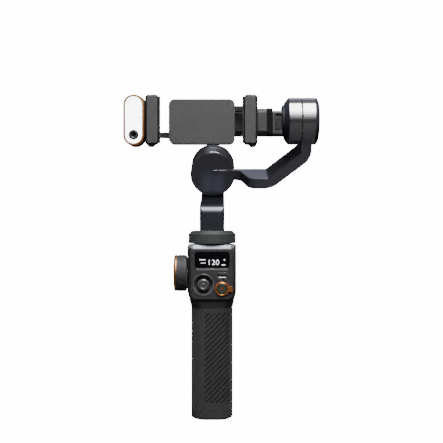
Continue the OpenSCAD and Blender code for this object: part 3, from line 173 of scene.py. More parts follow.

# %% [markdown]
# ## Moulded plastics
# The shells, the panel and the jaws of such a product are moulded in a fine spark-eroded texture:
# matt, even, and a touch lighter along the edges, partly where hands rub and partly as a painted
# highlight. A texture finer than the camera can see still matters, because it spreads the
# highlights. So each plastic gets a fine grain for its relief, a slow cloud for its sheen, and a
# pale edge of wear and painted highlight.

# %% Plastics
def plastic(name, colour, rough=0.5, grain=0.00022, depth=0.00002, edge=0.3, gloss=0.35):
    finish = Finish(name, IOR=1.46, Specular_IOR_Level=gloss)
    cloud = finish.noise(0.011, detail=3)
    fine = finish.noise(grain, detail=1)
    # Pale edges: partly rubbed wear, partly a painted highlight along every edge.
    worn_and_highlit_edges = finish.edges(0.0005) * edge * (0.6 + cloud * 0.8)
    pale = tuple(0.8 * c + 0.05 for c in colour[:3]) + (1,)
    dull = tuple(c * 0.88 for c in colour[:3]) + (1,)
    base = finish.mix(cloud, dull, (*colour[:3], 1))
    return finish.feed(Base_Color=finish.mix(worn_and_highlit_edges, base, pale),
                       Roughness=rough + (cloud - 0.5) * 0.16 + (fine - 0.5) * 0.1,
                       Normal=finish.relief(fine, depth))


shell_plastic = plastic("shell_plastic", (0.024, 0.0228, 0.025), rough=0.42)
panel_plastic = plastic("panel_plastic", (0.041, 0.0395, 0.043), rough=0.5)
clamp_plastic = plastic("clamp_plastic", (0.075, 0.075, 0.08), rough=0.48, edge=0.15)
jaw_painted_shade_plastic = plastic("jaw_painted_shade_plastic", (0.016, 0.016, 0.018), rough=0.5, edge=0.05)
base_plastic = plastic("base_plastic", (0.05, 0.0483, 0.0512), rough=0.5, edge=0.25)
waist_plastic = plastic("waist_plastic", (0.034, 0.0324, 0.035), rough=0.5)
stem_plastic = plastic("stem_plastic", (0.06, 0.062, 0.064), rough=0.45, edge=0.15)
button_plastic = plastic("button_plastic", (0.022, 0.0215, 0.024), rough=0.3, grain=0.0003, gloss=0.6)
record_plastic = plastic("record_plastic", (0.045, 0.05, 0.038), rough=0.35, grain=0.0003, gloss=0.6)
collar_plastic = plastic("collar_plastic", (0.008, 0.0085, 0.009), rough=0.6, edge=0.02, gloss=0.1)
bell_plastic = plastic("bell_plastic", (0.03, 0.031, 0.042), rough=0.5, edge=0.1, gloss=0.12)
lip_painted_highlight_plastic = plastic("lip_painted_highlight_plastic", (0.14, 0.14, 0.15), rough=0.25, gloss=1.0)
stick_plastic = plastic("stick_plastic", (0.078, 0.076, 0.082), rough=0.28, grain=0.0003, gloss=0.9)
lens_plastic = plastic("lens_plastic", (0.04, 0.046, 0.043), rough=0.3, gloss=0.6)
sensor_plastic = plastic("sensor_plastic", (0.018, 0.018, 0.019), rough=0.4)
latch_plastic = plastic("latch_plastic", (0.028, 0.0295, 0.033), rough=0.45, edge=0.1)
gear_plastic = plastic("gear_plastic", (0.62, 0.56, 0.42), rough=0.35)


def chamfer(name, colour, highlight_half_width):
    """Glossy, with a painted highlight: pale along the middle of the edge, and dark like the shell near its
    ends.
    """
    finish = Finish(name, IOR=1.46)
    across = finish.node("ShaderNodeSeparateXYZ", {}, {0: finish.place()}, out="X")
    middle = (highlight_half_width - across._maths("ABSOLUTE", across)).above(0, 0.001)
    cloud = finish.noise(0.008, detail=2)
    base = finish.mix(middle, (0.02, 0.019, 0.021, 1), (*colour, 1))
    return finish.feed(Base_Color=base, Roughness=0.3 + cloud * 0.12, Normal=finish.relief(cloud, 0.00001))


head_chamfer_highlight = chamfer("head_chamfer_highlight", (0.56, 0.57, 0.7), 0.0158)
print("plastics made")

# %% [markdown]
# ## Coated metal
# Motors and arms are aluminium under a dark semi-gloss coating. The coating follows every turning
# mark a little and has tiny flakes in it, which catch the light one by one. A fine high-contrast
# noise does for the flakes, and a clear coat on top gives the soft double highlight.

# %% Coatings on the motors and arms
def coating(name, colour, rough=0.12, flake=0.00035, coat=0.3, metal=0.8):
    finish = Finish(name, IOR=1.5, Coat_Weight=coat, Coat_Roughness=0.06)
    flakes = finish.noise(flake, detail=0).above(0.66, 0.06)
    cloud = finish.noise(0.014, detail=2)
    # Pale edges: partly rubbed coating, partly a painted highlight along every edge.
    worn_and_highlit_edges = finish.edges(0.0004) * 0.12 * (0.5 + cloud)
    bright = tuple(c * 1.5 + 0.02 for c in colour[:3]) + (1,)
    pale = tuple(0.9 * c + 0.1 for c in colour[:3]) + (1,)
    base = finish.mix(flakes * 0.12, (*colour[:3], 1), bright)
    return finish.feed(Base_Color=finish.mix(worn_and_highlit_edges, base, pale),
                       Metallic=metal + flakes * 0.05,
                       Roughness=rough + (cloud - 0.5) * 0.03,
                       Normal=finish.relief(finish.noise(0.0009, detail=1), 0.0000008))


motor_coating = coating("motor_coating", (0.36, 0.342, 0.366), rough=0.15, metal=0.9)
arm_coating = coating("arm_coating", (0.21, 0.21, 0.25), rough=0.22, metal=0.85, coat=0.1)
neck_coating = coating("neck_coating", (0.075, 0.083, 0.1), rough=0.3, metal=0.8, coat=0.05)
cap_coating = coating("cap_coating", (0.05, 0.0575, 0.057), rough=0.6, metal=0.2, coat=0.0)
cap_chamfer_painted_shade = coating("cap_chamfer_painted_shade", (0.034, 0.0395, 0.041), rough=0.6, metal=0.2, coat=0.0)
print("coatings made")

# %% [markdown]
# ## Rubber
# The grip sleeve and the pads are soft moulded rubber: almost no gloss, a slight velvet sheen at
# grazing angles, and dust and skin marks that change the tone from place to place. The grip has
# slanted grooves, and little light reaches their floors. So the finish repeats the pattern of the
# grooves, from the same start, pitch and slant, and darkens it.

# %% Where the grooves of the grip run
GROOVE_SLANT = radians(45)
GROOVE_PITCH = 0.00453
GROOVE_WIDTH = 0.0012
GROOVE_SOFT = 0.0003
PATCH_LEFT, PATCH_RIGHT = -0.0062, 0.0147
PATCH_LOW, PATCH_HIGH = 0.0148, 0.0908
PATCH_START = 0.0147
PATCH_SOFT = 0.0002
GROOVE_SHADE = 0.8
GROOVE_COLOUR = (0.003, 0.003, 0.0034, 1)


def grip_grooves(finish):
    """1 in the slanted grooves of the grip, whose floors see less light, and 0 on the ribs."""
    across = finish.node("ShaderNodeSeparateXYZ", {}, {0: finish.place()}, out="X")
    up = finish.node("ShaderNodeSeparateXYZ", {}, {0: finish.place()}, out="Z")
    slant = (up - across - PATCH_START) * cos(GROOVE_SLANT)
    place = slant._maths("FLOORED_MODULO", slant, GROOVE_PITCH * cos(GROOVE_SLANT))
    rib = place.above(GROOVE_WIDTH, GROOVE_SOFT)
    inside = across.above(PATCH_LEFT, PATCH_SOFT) * (PATCH_RIGHT - across).above(0, PATCH_SOFT)
    return (1 - rib) * inside * up.above(PATCH_LOW, PATCH_SOFT) * (PATCH_HIGH - up).above(0, PATCH_SOFT)


print("groove pitch:", GROOVE_PITCH, "m")

# %% Rubber
def rubber(name, colour, rough=0.72, grain=0.0004, grooves=None):
    finish = Finish(name, IOR=1.5, Sheen_Weight=0.12, Sheen_Roughness=0.4)
    cloud = finish.noise(0.018, detail=4)
    fine = finish.noise(grain, detail=2)
    dust = finish.noise(0.0012, detail=3).above(0.62, 0.05) * 0.12
    base = finish.mix(cloud, tuple(c * 0.8 for c in colour) + (1,), tuple(c * 1.15 for c in colour) + (1,))
    if grooves:
        base = finish.mix(grooves(finish) * GROOVE_SHADE, base, GROOVE_COLOUR)
    return finish.feed(Base_Color=finish.mix(dust, base, (0.16, 0.155, 0.15, 1)),
                       Roughness=rough + (cloud - 0.5) * 0.2,
                       Normal=finish.relief(fine, 0.00004))


sleeve_rubber = rubber("sleeve_rubber", (0.037, 0.035, 0.0375), grooves=grip_grooves)
pad_rubber = rubber("pad_rubber", (0.01, 0.01, 0.011), rough=0.8)
wheel_rubber = rubber("wheel_rubber", (0.046, 0.045, 0.051), rough=0.62, grain=0.0003)
print("rubbers made")

# %% [markdown]
# ## Bare, plated and anodised metal
# Anodised trim keeps the fine lines of the lathe or the cutter under a tinted film. Rings of noise
# round the part's own axis would be truest, but the lines are so fine that noise stretched along
# one direction reads the same and costs less.

# %% Metals
def metal(name, colour, second=None, rough=0.28, along=(1, 1, 0.04), size=0.0004, painted_shade_heights=None, bare=1.0):
    finish = Finish(name, Metallic=bare, IOR=1.5)
    lines = finish.noise(size, detail=2, scale=along)
    cloud = finish.noise(0.006, detail=2)
    base = finish.mix(cloud, (*colour, 1), tuple(c * 0.85 for c in colour) + (1,))
    # A second colour below a band of heights: the piece darker and browner towards its bottom, painted shade.
    if second:
        height = finish.node("ShaderNodeSeparateXYZ", {}, {0: finish.place()}, out="Z")
        low, high = painted_shade_heights
        part = finish.node("ShaderNodeMapRange", {}, {0: height, 1: low, 2: high})
        base = finish.mix(part, (*second, 1), base)
    return finish.feed(Base_Color=base, Roughness=rough + lines * 0.14,
                       Normal=finish.relief(lines, 0.000012, soften=0.00015))


steel = metal("ground_steel", (0.56, 0.56, 0.58))
brass = metal("turned_brass", (0.74, 0.52, 0.22), rough=0.24)
nickel = metal("nickel_plate", (0.6, 0.58, 0.55), rough=0.16)
orange_metal = metal("orange_anodised", (0.88, 0.21, 0.025), rough=0.3)
ring_metal = metal("ring_anodised", (0.9, 0.34, 0.11), rough=0.2, along=(1, 1, 1), bare=0.86)
rim_metal = metal("rim_anodised", (0.5, 0.24, 0.09), rough=0.3, along=(0.05, 1, 1))
# The rim is darker and browner below 0.245 m than above 0.27 m: painted shade.
gold_metal = metal("gold_anodised", (0.5, 0.33, 0.13), rough=0.4,
                   second=(0.34, 0.13, 0.05), painted_shade_heights=(0.245, 0.27))
print("metals made")

# %% [markdown]
# ## Glass, light and the inner parts
# The display window and the lens are black gloss. The light face and the status bar are milky
# diffusers, lit from inside, so they glow a little and have no grain of their own beyond a faint
# unevenness. The stators, the cell and the board are never seen in use, but each has a finish of
# its kind: bands of enamelled copper on dark iron, a shrink sleeve, and green resist with lands.

# %% Gloss, glow and inner finishes
def gloss(name, colour, rough=0.06):
    finish = Finish(name, IOR=1.52, Coat_Weight=1.0, Coat_Roughness=0.03)
    smear = finish.noise(0.009, detail=4)
    speck = finish.noise(0.0007, detail=1).above(0.74, 0.03)
    base = finish.mix(speck * 0.25, (*colour, 1), (0.1, 0.1, 0.1, 1))
    return finish.feed(Base_Color=base, Roughness=rough + smear * 0.07,
                       Normal=finish.relief(smear, 0.000004, soften=0.00015))


def glow(name, colour, light):
    finish = Finish(name, Emission_Strength=light, IOR=1.45)
    uneven = finish.noise(0.005, detail=2)
    bright = finish.mix(uneven, (*colour, 1), tuple(c * 0.94 for c in colour) + (1,))
    return finish.feed(Base_Color=bright, Emission_Color=bright, Roughness=0.34 + uneven * 0.1,
                       Normal=finish.relief(uneven, 0.00001))


screen_gloss = gloss("screen_gloss", (0.004, 0.004, 0.005))
lens_gloss = gloss("lens_gloss", (0.006, 0.006, 0.008), rough=0.1)
light_face = glow("light_face", (0.95, 0.95, 0.96), 7.0)
status_light = glow("status_light", (0.16, 0.16, 0.17), 0.1)
# Lights the display's figures, and also makes the printed bar on the menu button glow, though no lamp is
# behind it: painted light.
screen_and_mark_glow = glow("screen_and_mark_glow", (0.85, 0.86, 0.9), 1.6)


def winding(name):
    finish = Finish(name, Coat_Weight=0.3)
    turns = finish.noise(0.0005, detail=1, scale=(1, 1, 3))
    band = finish.noise(0.004, detail=0).above(0.5, 0.02)
    copper = finish.mix(turns, (0.5, 0.17, 0.05, 1), (0.72, 0.28, 0.09, 1))
    return finish.feed(Base_Color=finish.mix(band, copper, (0.08, 0.08, 0.085, 1)), Metallic=0.5 + band * 0.3,
                       Roughness=0.3 + turns * 0.2, Normal=finish.relief(turns, 0.00006))


def cell_sleeve(name):
    finish = Finish(name, Coat_Weight=0.4)
    wrinkle = finish.noise(0.003, detail=3, scale=(1, 1, 0.25))
    base = finish.mix(wrinkle, (0.05, 0.13, 0.21, 1), (0.08, 0.18, 0.27, 1))
    return finish.feed(Base_Color=base, Roughness=0.22 + wrinkle * 0.16,
                       Normal=finish.relief(wrinkle, 0.00008))


def circuit(name):
    finish = Finish(name, Coat_Weight=0.3)
    track = finish.node("ShaderNodeTexBrick", {"offset": 0.5}, {"Vector": finish.place(turn=(pi / 2, 0, 0)),
                        "Scale": 380.0, "Mortar Size": 0.03}, out="Fac")
    spot = finish.noise(0.0016, detail=0).above(0.68, 0.02)
    resist = finish.mix(track, (0.012, 0.09, 0.045, 1), (0.03, 0.2, 0.1, 1))
    return finish.feed(Base_Color=finish.mix(spot, resist, (0.5, 0.46, 0.4, 1)),
                       Roughness=0.3 + track * 0.12, Normal=finish.relief(track, 0.00003))


copper_winding = winding("copper_winding")
sleeve_wrap = cell_sleeve("sleeve_wrap")
board_resist = circuit("board_resist")
print("all finishes:", len(bpy.data.materials))

# %% [markdown]
# ## Dressing the measured pieces
# A measured piece whose shape is right keeps it and only gets its finish. Giving the finish means
# emptying the piece's material slots and adding the new one.

# %% Give every measured piece its finish
def dress(names, material):
    for name in names.split():
        data = nodes[name].data
        data.materials.clear()
        data.materials.append(material)


dress("handle_front_shell handle_rear_shell trigger joystick_base", shell_plastic)
dress("front_panel", panel_plastic)
dress("grip_sleeve", sleeve_rubber)
dress("base_cap", base_plastic)
dress("pan_cap", cap_coating)
dress("roll_rotor roll_end_cap tilt_rotor tilt_end_cap", motor_coating)
dress("roll_arm arm_cover", arm_coating)
dress("neck_arm", neck_coating)
dress("left_jaw right_jaw clamp_body clamp_back_plate", clamp_plastic)
dress("tilt_stem clamp_bracket", stem_plastic)
dress("lock_latch", latch_plastic)
dress("left_pad right_pad", pad_rubber)
dress("record_button side_button joystick_cap", button_plastic)
dress("menu_button", shell_plastic)
dress("zoom_ring", orange_metal)
dress("control_wheel", wheel_rubber)
dress("wheel_rim", rim_metal)
dress("sensor_rim", gold_metal)
dress("screen_glass", screen_gloss)
dress("light_bar", status_light)
dress("sensor_face", light_face)
dress("sensor_lens", lens_gloss)
dress("sensor_body", sensor_plastic)
dress("handle_screws trigger_pin wheel_shaft pan_shaft roll_shaft tilt_shaft pivot_pin pan_bearings", steel)
dress("roll_bearings tilt_bearings trigger_spring clamp_spring joystick_yoke", steel)
dress("tripod_insert", brass)
dress("pan_magnets roll_magnets tilt_magnets", nickel)
dress("pan_stator roll_stator tilt_stator", copper_winding)
dress("pinion", gear_plastic)
dress("battery_cell", sleeve_wrap)
dress("main_board", board_resist)
print("dressed:", sum(1 for n in nodes.values() if n.data.materials))

# %% [markdown]
# ## Eased edges
# No machined or moulded edge is perfectly sharp. On the real arms and motor halves the edges are
# broken by a few tenths of a millimetre, and that narrow facet is what catches the light and draws
# the outline of each piece. The measured solids are sharp, so each main piece is copied, its loose
# triangles are merged and its flat areas dissolved into clean faces, and then a bevel runs round
# every sharp edge. The copy stands for the measured piece from then on. The jaws and the front
# shell have a width of 0: their edges stay, and they are copied to carry more than one finish.

# %% Copy a measured piece and ease its edges
def deselect():
    for thing in bpy.context.selected_objects:
        thing.select_set(False)


def copy_of(name, title):
    deselect()
    copy = bpy.data.objects.new(title, nodes[name].data.copy())
    bpy.context.collection.objects.link(copy)
    copy.select_set(True)
    bpy.context.view_layer.objects.active = copy
    bpy.ops.object.mode_set(mode="EDIT")
    bpy.ops.mesh.select_all(action="SELECT")
    bpy.ops.mesh.remove_doubles(threshold=0.000002)
    bpy.ops.mesh.dissolve_limited(angle_limit=radians(0.6))
    bpy.ops.object.mode_set(mode="OBJECT")
    return copy


def apply_all(piece):
    bpy.context.view_layer.objects.active = piece
    for modifier in list(piece.modifiers):
        bpy.ops.object.modifier_apply(modifier=modifier.name)


def even_normals(piece):
    """Large faces keep their own direction, so the narrow ones do all the turning."""
    weight = piece.modifiers.new("even", "WEIGHTED_NORMAL")
    weight.keep_sharp = True
    apply_all(piece)


def take_over(piece, name, body=None):
    """The new piece rides where the measured one does and stands for it."""
    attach(piece, body or nodes[name]["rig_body"])
    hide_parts(name)
    for row in frame["record"]["subparts"]:
        row["node"] == name
    return piece


def eased(name, width, segments=2, sharp=32, smooth=30):
    piece = copy_of(name, name + "_eased")
    if width:
        bevel = piece.modifiers.new("ease", "BEVEL")
        bevel.width, bevel.segments = width, segments
        bevel.limit_method, bevel.angle_limit = "ANGLE", radians(sharp)
        bevel.use_clamp_overlap, bevel.miter_outer = False, "MITER_ARC"
    apply_all(piece)
    piece.select_set(True)
    bpy.ops.object.shade_smooth_by_angle(angle=radians(smooth))
    even_normals(piece)
    return take_over(piece, name)


made = {}
for name, width in [("roll_arm", 0.0003), ("neck_arm", 0.0004), ("clamp_bracket", 0.00035),
                    ("tilt_stem", 0.0003), ("clamp_body", 0.0004), ("clamp_back_plate", 0.0004),
                    ("front_panel", 0.0002), ("lock_latch", 0.0002), ("arm_cover", 0.0003),
                    ("left_jaw", 0), ("right_jaw", 0), ("handle_front_shell", 0)]:
    made[name] = eased(name, width)
    print(made[name].name, len(made[name].data.polygons), "faces")

# %% [markdown]
# Some pieces carry two finishes, and the front shell three: the jaws take a much darker plastic on
# their sides, back and underside as painted shade, the stem has a dark collar, the arm ends in the
# bright housing of the tilt motor, the head's front chamfer carries a painted highlight along its
# middle, and the shell's waist is paler. A slot is added and the faces that pass a test are given
# to it.

# %% More than one finish on a piece
JAW_FRONT = -0.0245
COLLAR_END = 0.0521
CHAMFER_LOW = 0.1448
WAIST_TOP = 0.1005
HOUSING_START, HOUSING_RADIUS = 0.0765, 0.0207


def two_finishes(piece, second, test):
    piece.data.materials.append(second)
    for face in piece.data.polygons:
        if test(face.center, face.normal):
            face.material_index = len(piece.data.materials) - 1
    print(piece.name, "has", len(piece.data.materials), "finishes, the last is", second.name)


tilt_axis = Vector((0, 0.004996, 0.255204))
# The sides, back and underside of each jaw get the much darker plastic: painted shade.
for name in ("left_jaw", "right_jaw"):
    two_finishes(made[name], jaw_painted_shade_plastic,
                 lambda at, n: abs(n.x) > 0.35 or at.y > JAW_FRONT or n.z < -0.4)
two_finishes(made["tilt_stem"], collar_plastic, lambda at, n: at.x < COLLAR_END)
# The head's front chamfer: a painted highlight along its middle.
two_finishes(made["handle_front_shell"], head_chamfer_highlight,
             lambda at, n: at.z > CHAMFER_LOW and n.y < -0.4 and n.z > 0.4)
two_finishes(made["handle_front_shell"], waist_plastic, lambda at, n: at.z < WAIST_TOP and n.y < 0.2)
two_finishes(made["roll_arm"], motor_coating,
             lambda at, n: at.x > HOUSING_START
             and ((at - tilt_axis) * Vector((0, 1, 1))).length < HOUSING_RADIUS)

# %% [markdown]
# ## Turned pieces
# The motor bells, their end caps, the wheel and the round controls come off a lathe, so they are
# drawn here the same way. A disc is the first face; its rim is then extruded and resized from one
# ring to the next, and the last ring closes the piece. A ring that goes down again before it goes
# up makes a hollow, which is how the bells keep room for their stators. The lengths are those of
# the measured pieces, in millimetres.

# %% A lathe in edit mode
MM = 0.001
roll_frame = Matrix.Translation((0, 9.9 * MM, 200.8 * MM)) @ Matrix.Rotation(radians(20), 4, "X")
pan_place = Matrix.Translation((0, 0, 148 * MM))
roll_place = roll_frame @ Matrix.Translation((0, 48.5 * MM, 0)) @ Matrix.Rotation(pi / 2, 4, "X")
tilt_place = (roll_frame @ Matrix.Translation((77.05 * MM, 13.9986 * MM, 52.8 * MM))
              @ Matrix.Rotation(-pi / 2, 4, "Y"))


def facing_front(x, z):
    """A frame whose +Z points at the user."""
    return Matrix.Translation((x * MM, 0, z * MM)) @ Matrix.Rotation(pi / 2, 4, "X")


def start(title, add, **settings):
    """A primitive at the origin, ready to be shaped in edit mode."""
    deselect()
    add(location=(0, 0, 0), **settings)
    piece = bpy.context.object
    piece.name = title
    bpy.ops.object.mode_set(mode="EDIT")
    bpy.ops.mesh.select_all(action="SELECT")
    return piece


def turned(title, rings, steps=96, tube=False):
    """A lathe piece from (radius, height) rings; a tube closes on its first ring."""
    piece = start(title, bpy.ops.mesh.primitive_circle_add, vertices=steps, radius=rings[0][0] * MM,
                  fill_type="NOTHING" if tube else "NGON")
    bpy.ops.transform.translate(value=(0, 0, rings[0][1] * MM))
    path = rings + rings[:1] if tube else rings
    for (r0, z0), (r1, z1) in zip(path, path[1:]):
        bpy.ops.mesh.extrude_region_move(TRANSFORM_OT_translate={"value": (0, 0, (z1 - z0) * MM)})
        bpy.ops.transform.resize(value=(r1 / r0, r1 / r0, 1), center_override=(0, 0, z1 * MM))
    bpy.ops.mesh.select_all(action="SELECT")
    bpy.ops.mesh.remove_doubles(threshold=0.000001)
    bpy.ops.mesh.normals_make_consistent(inside=False)
    return piece


def bars(size, at, turn=0.0, copies=1):
    """Inside edit mode: a block, turned about the radius and repeated round the axis."""
    bpy.ops.mesh.select_all(action="DESELECT")
    bpy.ops.mesh.primitive_cube_add(size=1, location=(0, 0, 0))
    bpy.ops.transform.resize(value=tuple(s * MM for s in size), center_override=(0, 0, 0))
    if turn:
        bpy.ops.transform.rotate(value=turn, orient_axis="X", center_override=(0, 0, 0))
    bpy.ops.transform.translate(value=tuple(a * MM for a in at))
    if copies > 1:
        bpy.ops.mesh.spin(steps=copies - 1, dupli=True, angle=2 * pi * (copies - 1) / copies,
                          center=(0, 0, 0), axis=(0, 0, 1))


def finish_piece(piece, material, place, ease=0.0002, smooth=35):
    """Out of edit mode: edges eased, shading, finish, and the place applied to the mesh."""
    bpy.ops.object.mode_set(mode="OBJECT")
    if ease:
        bevel = piece.modifiers.new("ease", "BEVEL")
        bevel.width, bevel.segments = ease, 2
        bevel.limit_method, bevel.angle_limit = "ANGLE", radians(25)
    apply_all(piece)
    piece.data.transform(place)
    piece.data.materials.clear()
    piece.data.materials.append(material)
    piece.select_set(True)
    bpy.ops.object.shade_smooth_by_angle(angle=radians(smooth))
    even_normals(piece)
    return piece


print("lathe ready")

# %% Bells and end caps of the three motors
def bell(radius, height, bevel, low=0.9, boss=None):
    """Hollow bell above the seam; bevel is (across, along)."""
    inner, top = radius - 2.4, 0.9 + height
    rings = [(inner, top - 2), (inner, low), (radius - 0.2, low), (radius, low + 0.2),
             (radius, top - bevel[1]), (radius - bevel[0], top)]
    if boss:
        rings += [(boss[0], top), (boss[0], top + boss[1] - 0.5), (boss[0] - 0.5, top + boss[1])]
    return rings


def end_cap(radius, height, rise=3.5, curve=3.2):
    arc = [radians(a) for a in range(0, 91, 10)]
    dome = [(radius - curve + curve * sin(a), -height - rise + curve - curve * cos(a)) for a in arc]
    return dome + [(radius, -height), (radius - 2.45, -height), (radius - 2.45, -height + 1.5)]


for name, rings, place, material in [
        ("pan_cap", bell(20.5, 10.9, (2.9, 2.9)), pan_place, cap_coating),
        ("roll_rotor", bell(20.5, 14.6, (0.5, 0.5), low=0.35), roll_place, motor_coating),
        ("tilt_rotor", bell(20.4, 13.5, (4.6, 3.4), low=0.35, boss=(13.6, 2.1)), tilt_place, motor_coating),
        ("roll_end_cap", end_cap(20.5, 12.5), roll_place, motor_coating),
        ("tilt_end_cap", end_cap(20.4, 11.4), tilt_place, motor_coating)]:
    piece = finish_piece(turned(name + "_turned", rings, steps=128), material, place, ease=0.00025)
    made[name] = take_over(piece, name)
    print(piece.name, len(piece.data.polygons), "faces")
# The cap's up-facing chamfer takes a darker copy of the cap coating: painted shade that tones down its
# highlight.
two_finishes(made["pan_cap"], cap_chamfer_painted_shade, lambda at, n: 0.4 < n.z < 0.95)
ROTOR_FACE, CAP_FACE = 0.0661, 0.0887
two_finishes(made["tilt_rotor"], bell_plastic, lambda at, n: at.x < ROTOR_FACE)
two_finishes(made["tilt_end_cap"], bell_plastic, lambda at, n: at.x > CAP_FACE)

# %% [markdown]
# ## The base of the handle
# The base is a moulded cap whose lower edge is rounded all round, with a hole for the threaded
# insert. It starts as a rectangle whose corners are rounded, and each further ring is extruded
# from the last one and resized: out to the grip's section, down, in along a quarter circle, and
# then up again as the wall of the hole, whose points are set on a circle in code. The measured cap
# has a groove where the product is rounded, so this piece stands for it.

# %% Base cap
half_grip = (17.75, 18.5)
corner_round, foot_round = 12, 2.3
seam, plug_top, plug_inset = 7.98, 13.3, 3.9
hole_radius, hole_top = 5.35, 9.4
curve = [(foot_round * (1 - sin(radians(a))), foot_round * (1 - cos(radians(a))))
         for a in range(15, 91, 15)]
cap_rings = [(seam, plug_inset), (seam, 0.45), (seam - 0.15, 0.12), (seam - 0.5, 0), (foot_round, 0)]
cap_rings += curve
base = start("base_cap_moulded", bpy.ops.mesh.primitive_plane_add, size=1)
bpy.ops.transform.resize(value=(2 * half_grip[0] * MM, 2 * half_grip[1] * MM, 1), center_override=(0, 0, 0))
bpy.ops.mesh.bevel(offset=corner_round * MM, segments=16, affect="VERTICES")
height, inset = plug_top, plug_inset
bpy.ops.transform.resize(value=[1 - inset / half for half in half_grip] + [1], center_override=(0, 0, 0))
bpy.ops.transform.translate(value=(0, 0, height * MM))
for next_height, next_inset in cap_rings:
    bpy.ops.mesh.extrude_region_move(TRANSFORM_OT_translate={"value": (0, 0, (next_height - height) * MM)})
    ratio = [(half - next_inset) / (half - inset) for half in half_grip]
    bpy.ops.transform.resize(value=ratio + [1], center_override=(0, 0, 0))
    height, inset = next_height, next_inset
bpy.ops.mesh.extrude_region_move(TRANSFORM_OT_translate={"value": (0, 0, 0)})
bpy.ops.object.mode_set(mode="OBJECT")
for corner in base.data.vertices:
    if corner.select:
        corner.co = Vector((corner.co.x, corner.co.y, 0)).normalized() * hole_radius * MM
bpy.ops.object.mode_set(mode="EDIT")
bpy.ops.mesh.extrude_region_move(TRANSFORM_OT_translate={"value": (0, 0, hole_top * MM)})
bpy.ops.mesh.select_all(action="SELECT")
bpy.ops.mesh.normals_make_consistent(inside=False)
finish_piece(base, base_plastic, Matrix(), ease=0)
take_over(base, "base_cap")
print("base cap:", len(base.data.polygons), "faces")

# %% [markdown]
# ## The control wheel
# The wheel is a rubber tyre on a turned rim. Its tread is a ring of slanted bars, so a thumb can
# push it sideways as well as roll it: one block is turned and repeated round the axis. The rim is
# a shallow dish with a rounded lip, which shows as a thin gilded line from the front.

# %% Wheel and rim
axle_hole = 3.05
wheel_place = Matrix.Translation((-30.05 * MM, -4 * MM, 123.4 * MM)) @ Matrix.Rotation(pi / 2, 4, "Y")
tyre = turned("wheel_tyre", [(axle_hole, 0), (15.3, 0), (15.3, 7.6), (15.0, 8.2), (14.4, 8.6),
                             (axle_hole, 8.6)], steps=144, tube=True)
bars((0.8, 0.75, 6.6), (15.28, 0, 4.1), turn=radians(26), copies=48)
finish_piece(tyre, wheel_rubber, wheel_place, ease=0.00014)
take_over(tyre, "control_wheel")
rim = turned("wheel_rim_turned", [(axle_hole, 2.4), (axle_hole, 1.2), (10.8, 1.2), (11.6, 0.3), (12.4, 0),
                                  (14.3, 0), (15.2, 0.35), (15.6, 1.0), (15.7, 1.8), (15.6, 2.4)],
             steps=144, tube=True)
bpy.ops.transform.translate(value=(0, 0, -2.4 * MM))
finish_piece(rim, rim_metal, wheel_place, ease=0)
take_over(rim, "wheel_rim")
print("wheel:", len(tyre.data.polygons), "faces in the tyre,", len(rim.data.polygons), "in the rim")

# %% [markdown]
# ## The controls on the panel
# The controls have details that the measured model leaves plain. The joystick's well has a thin
# raised lip that catches the light, in a paler plastic that adds a painted highlight, and a boot
# inside it, paler than the panel it is moulded like, as painted light in the shade of the well; the
# cap is dished with a nub in the middle. The zoom ring is a rounded ring of anodised metal with a
# tab, the button in it carries a small coloured dot, and the menu button has a printed bar that
# glows a little, a painted glow, under a lip of the same paler plastic.

# %% Joystick
stick_place = facing_front(-7.05, 114.6)
# The lip's paler plastic adds a painted highlight to the light it catches.
lip = turned("joystick_lip", [(8.35, 20.9), (8.35, 21.35), (8.6, 21.62), (8.85, 21.62), (9.1, 21.35),
                              (9.1, 20.9)], tube=True)
finish_piece(lip, lip_painted_highlight_plastic, stick_place, ease=0)
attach(lip, "handle")
# The boot is moulded like the panel but takes the paler clamp plastic: painted light that lifts it out of the
# shade of the well.
boot = turned("joystick_boot", [(6.3, 18.6), (7.2, 19.5), (8.3, 20.7), (8.45, 20.5), (7.4, 19.0),
                                (6.5, 18.3)], tube=True)
finish_piece(boot, clamp_plastic, stick_place, ease=0)
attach(boot, "handle")
cap = turned("joystick_dish", [(1.5, 14.6), (1.5, 20.4), (4.4, 20.4), (5.0, 20.8), (5.15, 21.3), (5.05, 21.8),
                               (4.8, 22.2), (4.35, 22.5), (3.85, 22.85), (3.6, 22.98), (3.3, 22.95),
                               (2.8, 22.6), (2.2, 22.35), (1.7, 22.35), (1.45, 22.65), (1.0, 22.8)])
bars((5.2, 5.2, 2.6), (0, 0, 14.6))
bars((1.4, 9, 1.4), (0, 0, 14.6))
finish_piece(cap, stick_plastic, stick_place, ease=0, smooth=50)
take_over(cap, "joystick_cap")
print("joystick:", len(cap.data.polygons), "faces")

# %% Zoom ring, record button and menu button
record_place = facing_front(8.65, 111.2)
ring = turned("zoom_ring_turned", [(4.5, 19.3), (4.5, 22.4), (4.7, 22.8), (4.95, 22.93), (5.2, 22.88),
                                   (5.5, 22.7), (5.8, 22.35), (6.02, 21.9), (6.1, 21.45), (5.6, 21.45),
                                   (5.6, 19.3)], tube=True)
bars((3.2, 4.6, 1.2), (7.1, 0, 22.05))
finish_piece(ring, ring_metal, record_place)
take_over(ring, "zoom_ring")
button = turned("record_dish", [(5.1, 17.6), (5.1, 18.6), (4.15, 18.6), (4.15, 22.2), (3.9, 22.6),
                                (3.5, 22.7), (2.6, 22.45), (1.6, 22.35)])
finish_piece(button, record_plastic, record_place, ease=0, smooth=50)
take_over(button, "record_button")
dot = turned("record_dot", [(0.85, 22.2), (0.85, 22.45), (0.7, 22.52)], steps=32)
finish_piece(dot, orange_metal, record_place, ease=0)
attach(dot, "record_key")
eased("menu_button", 0.0006, segments=3, sharp=40)
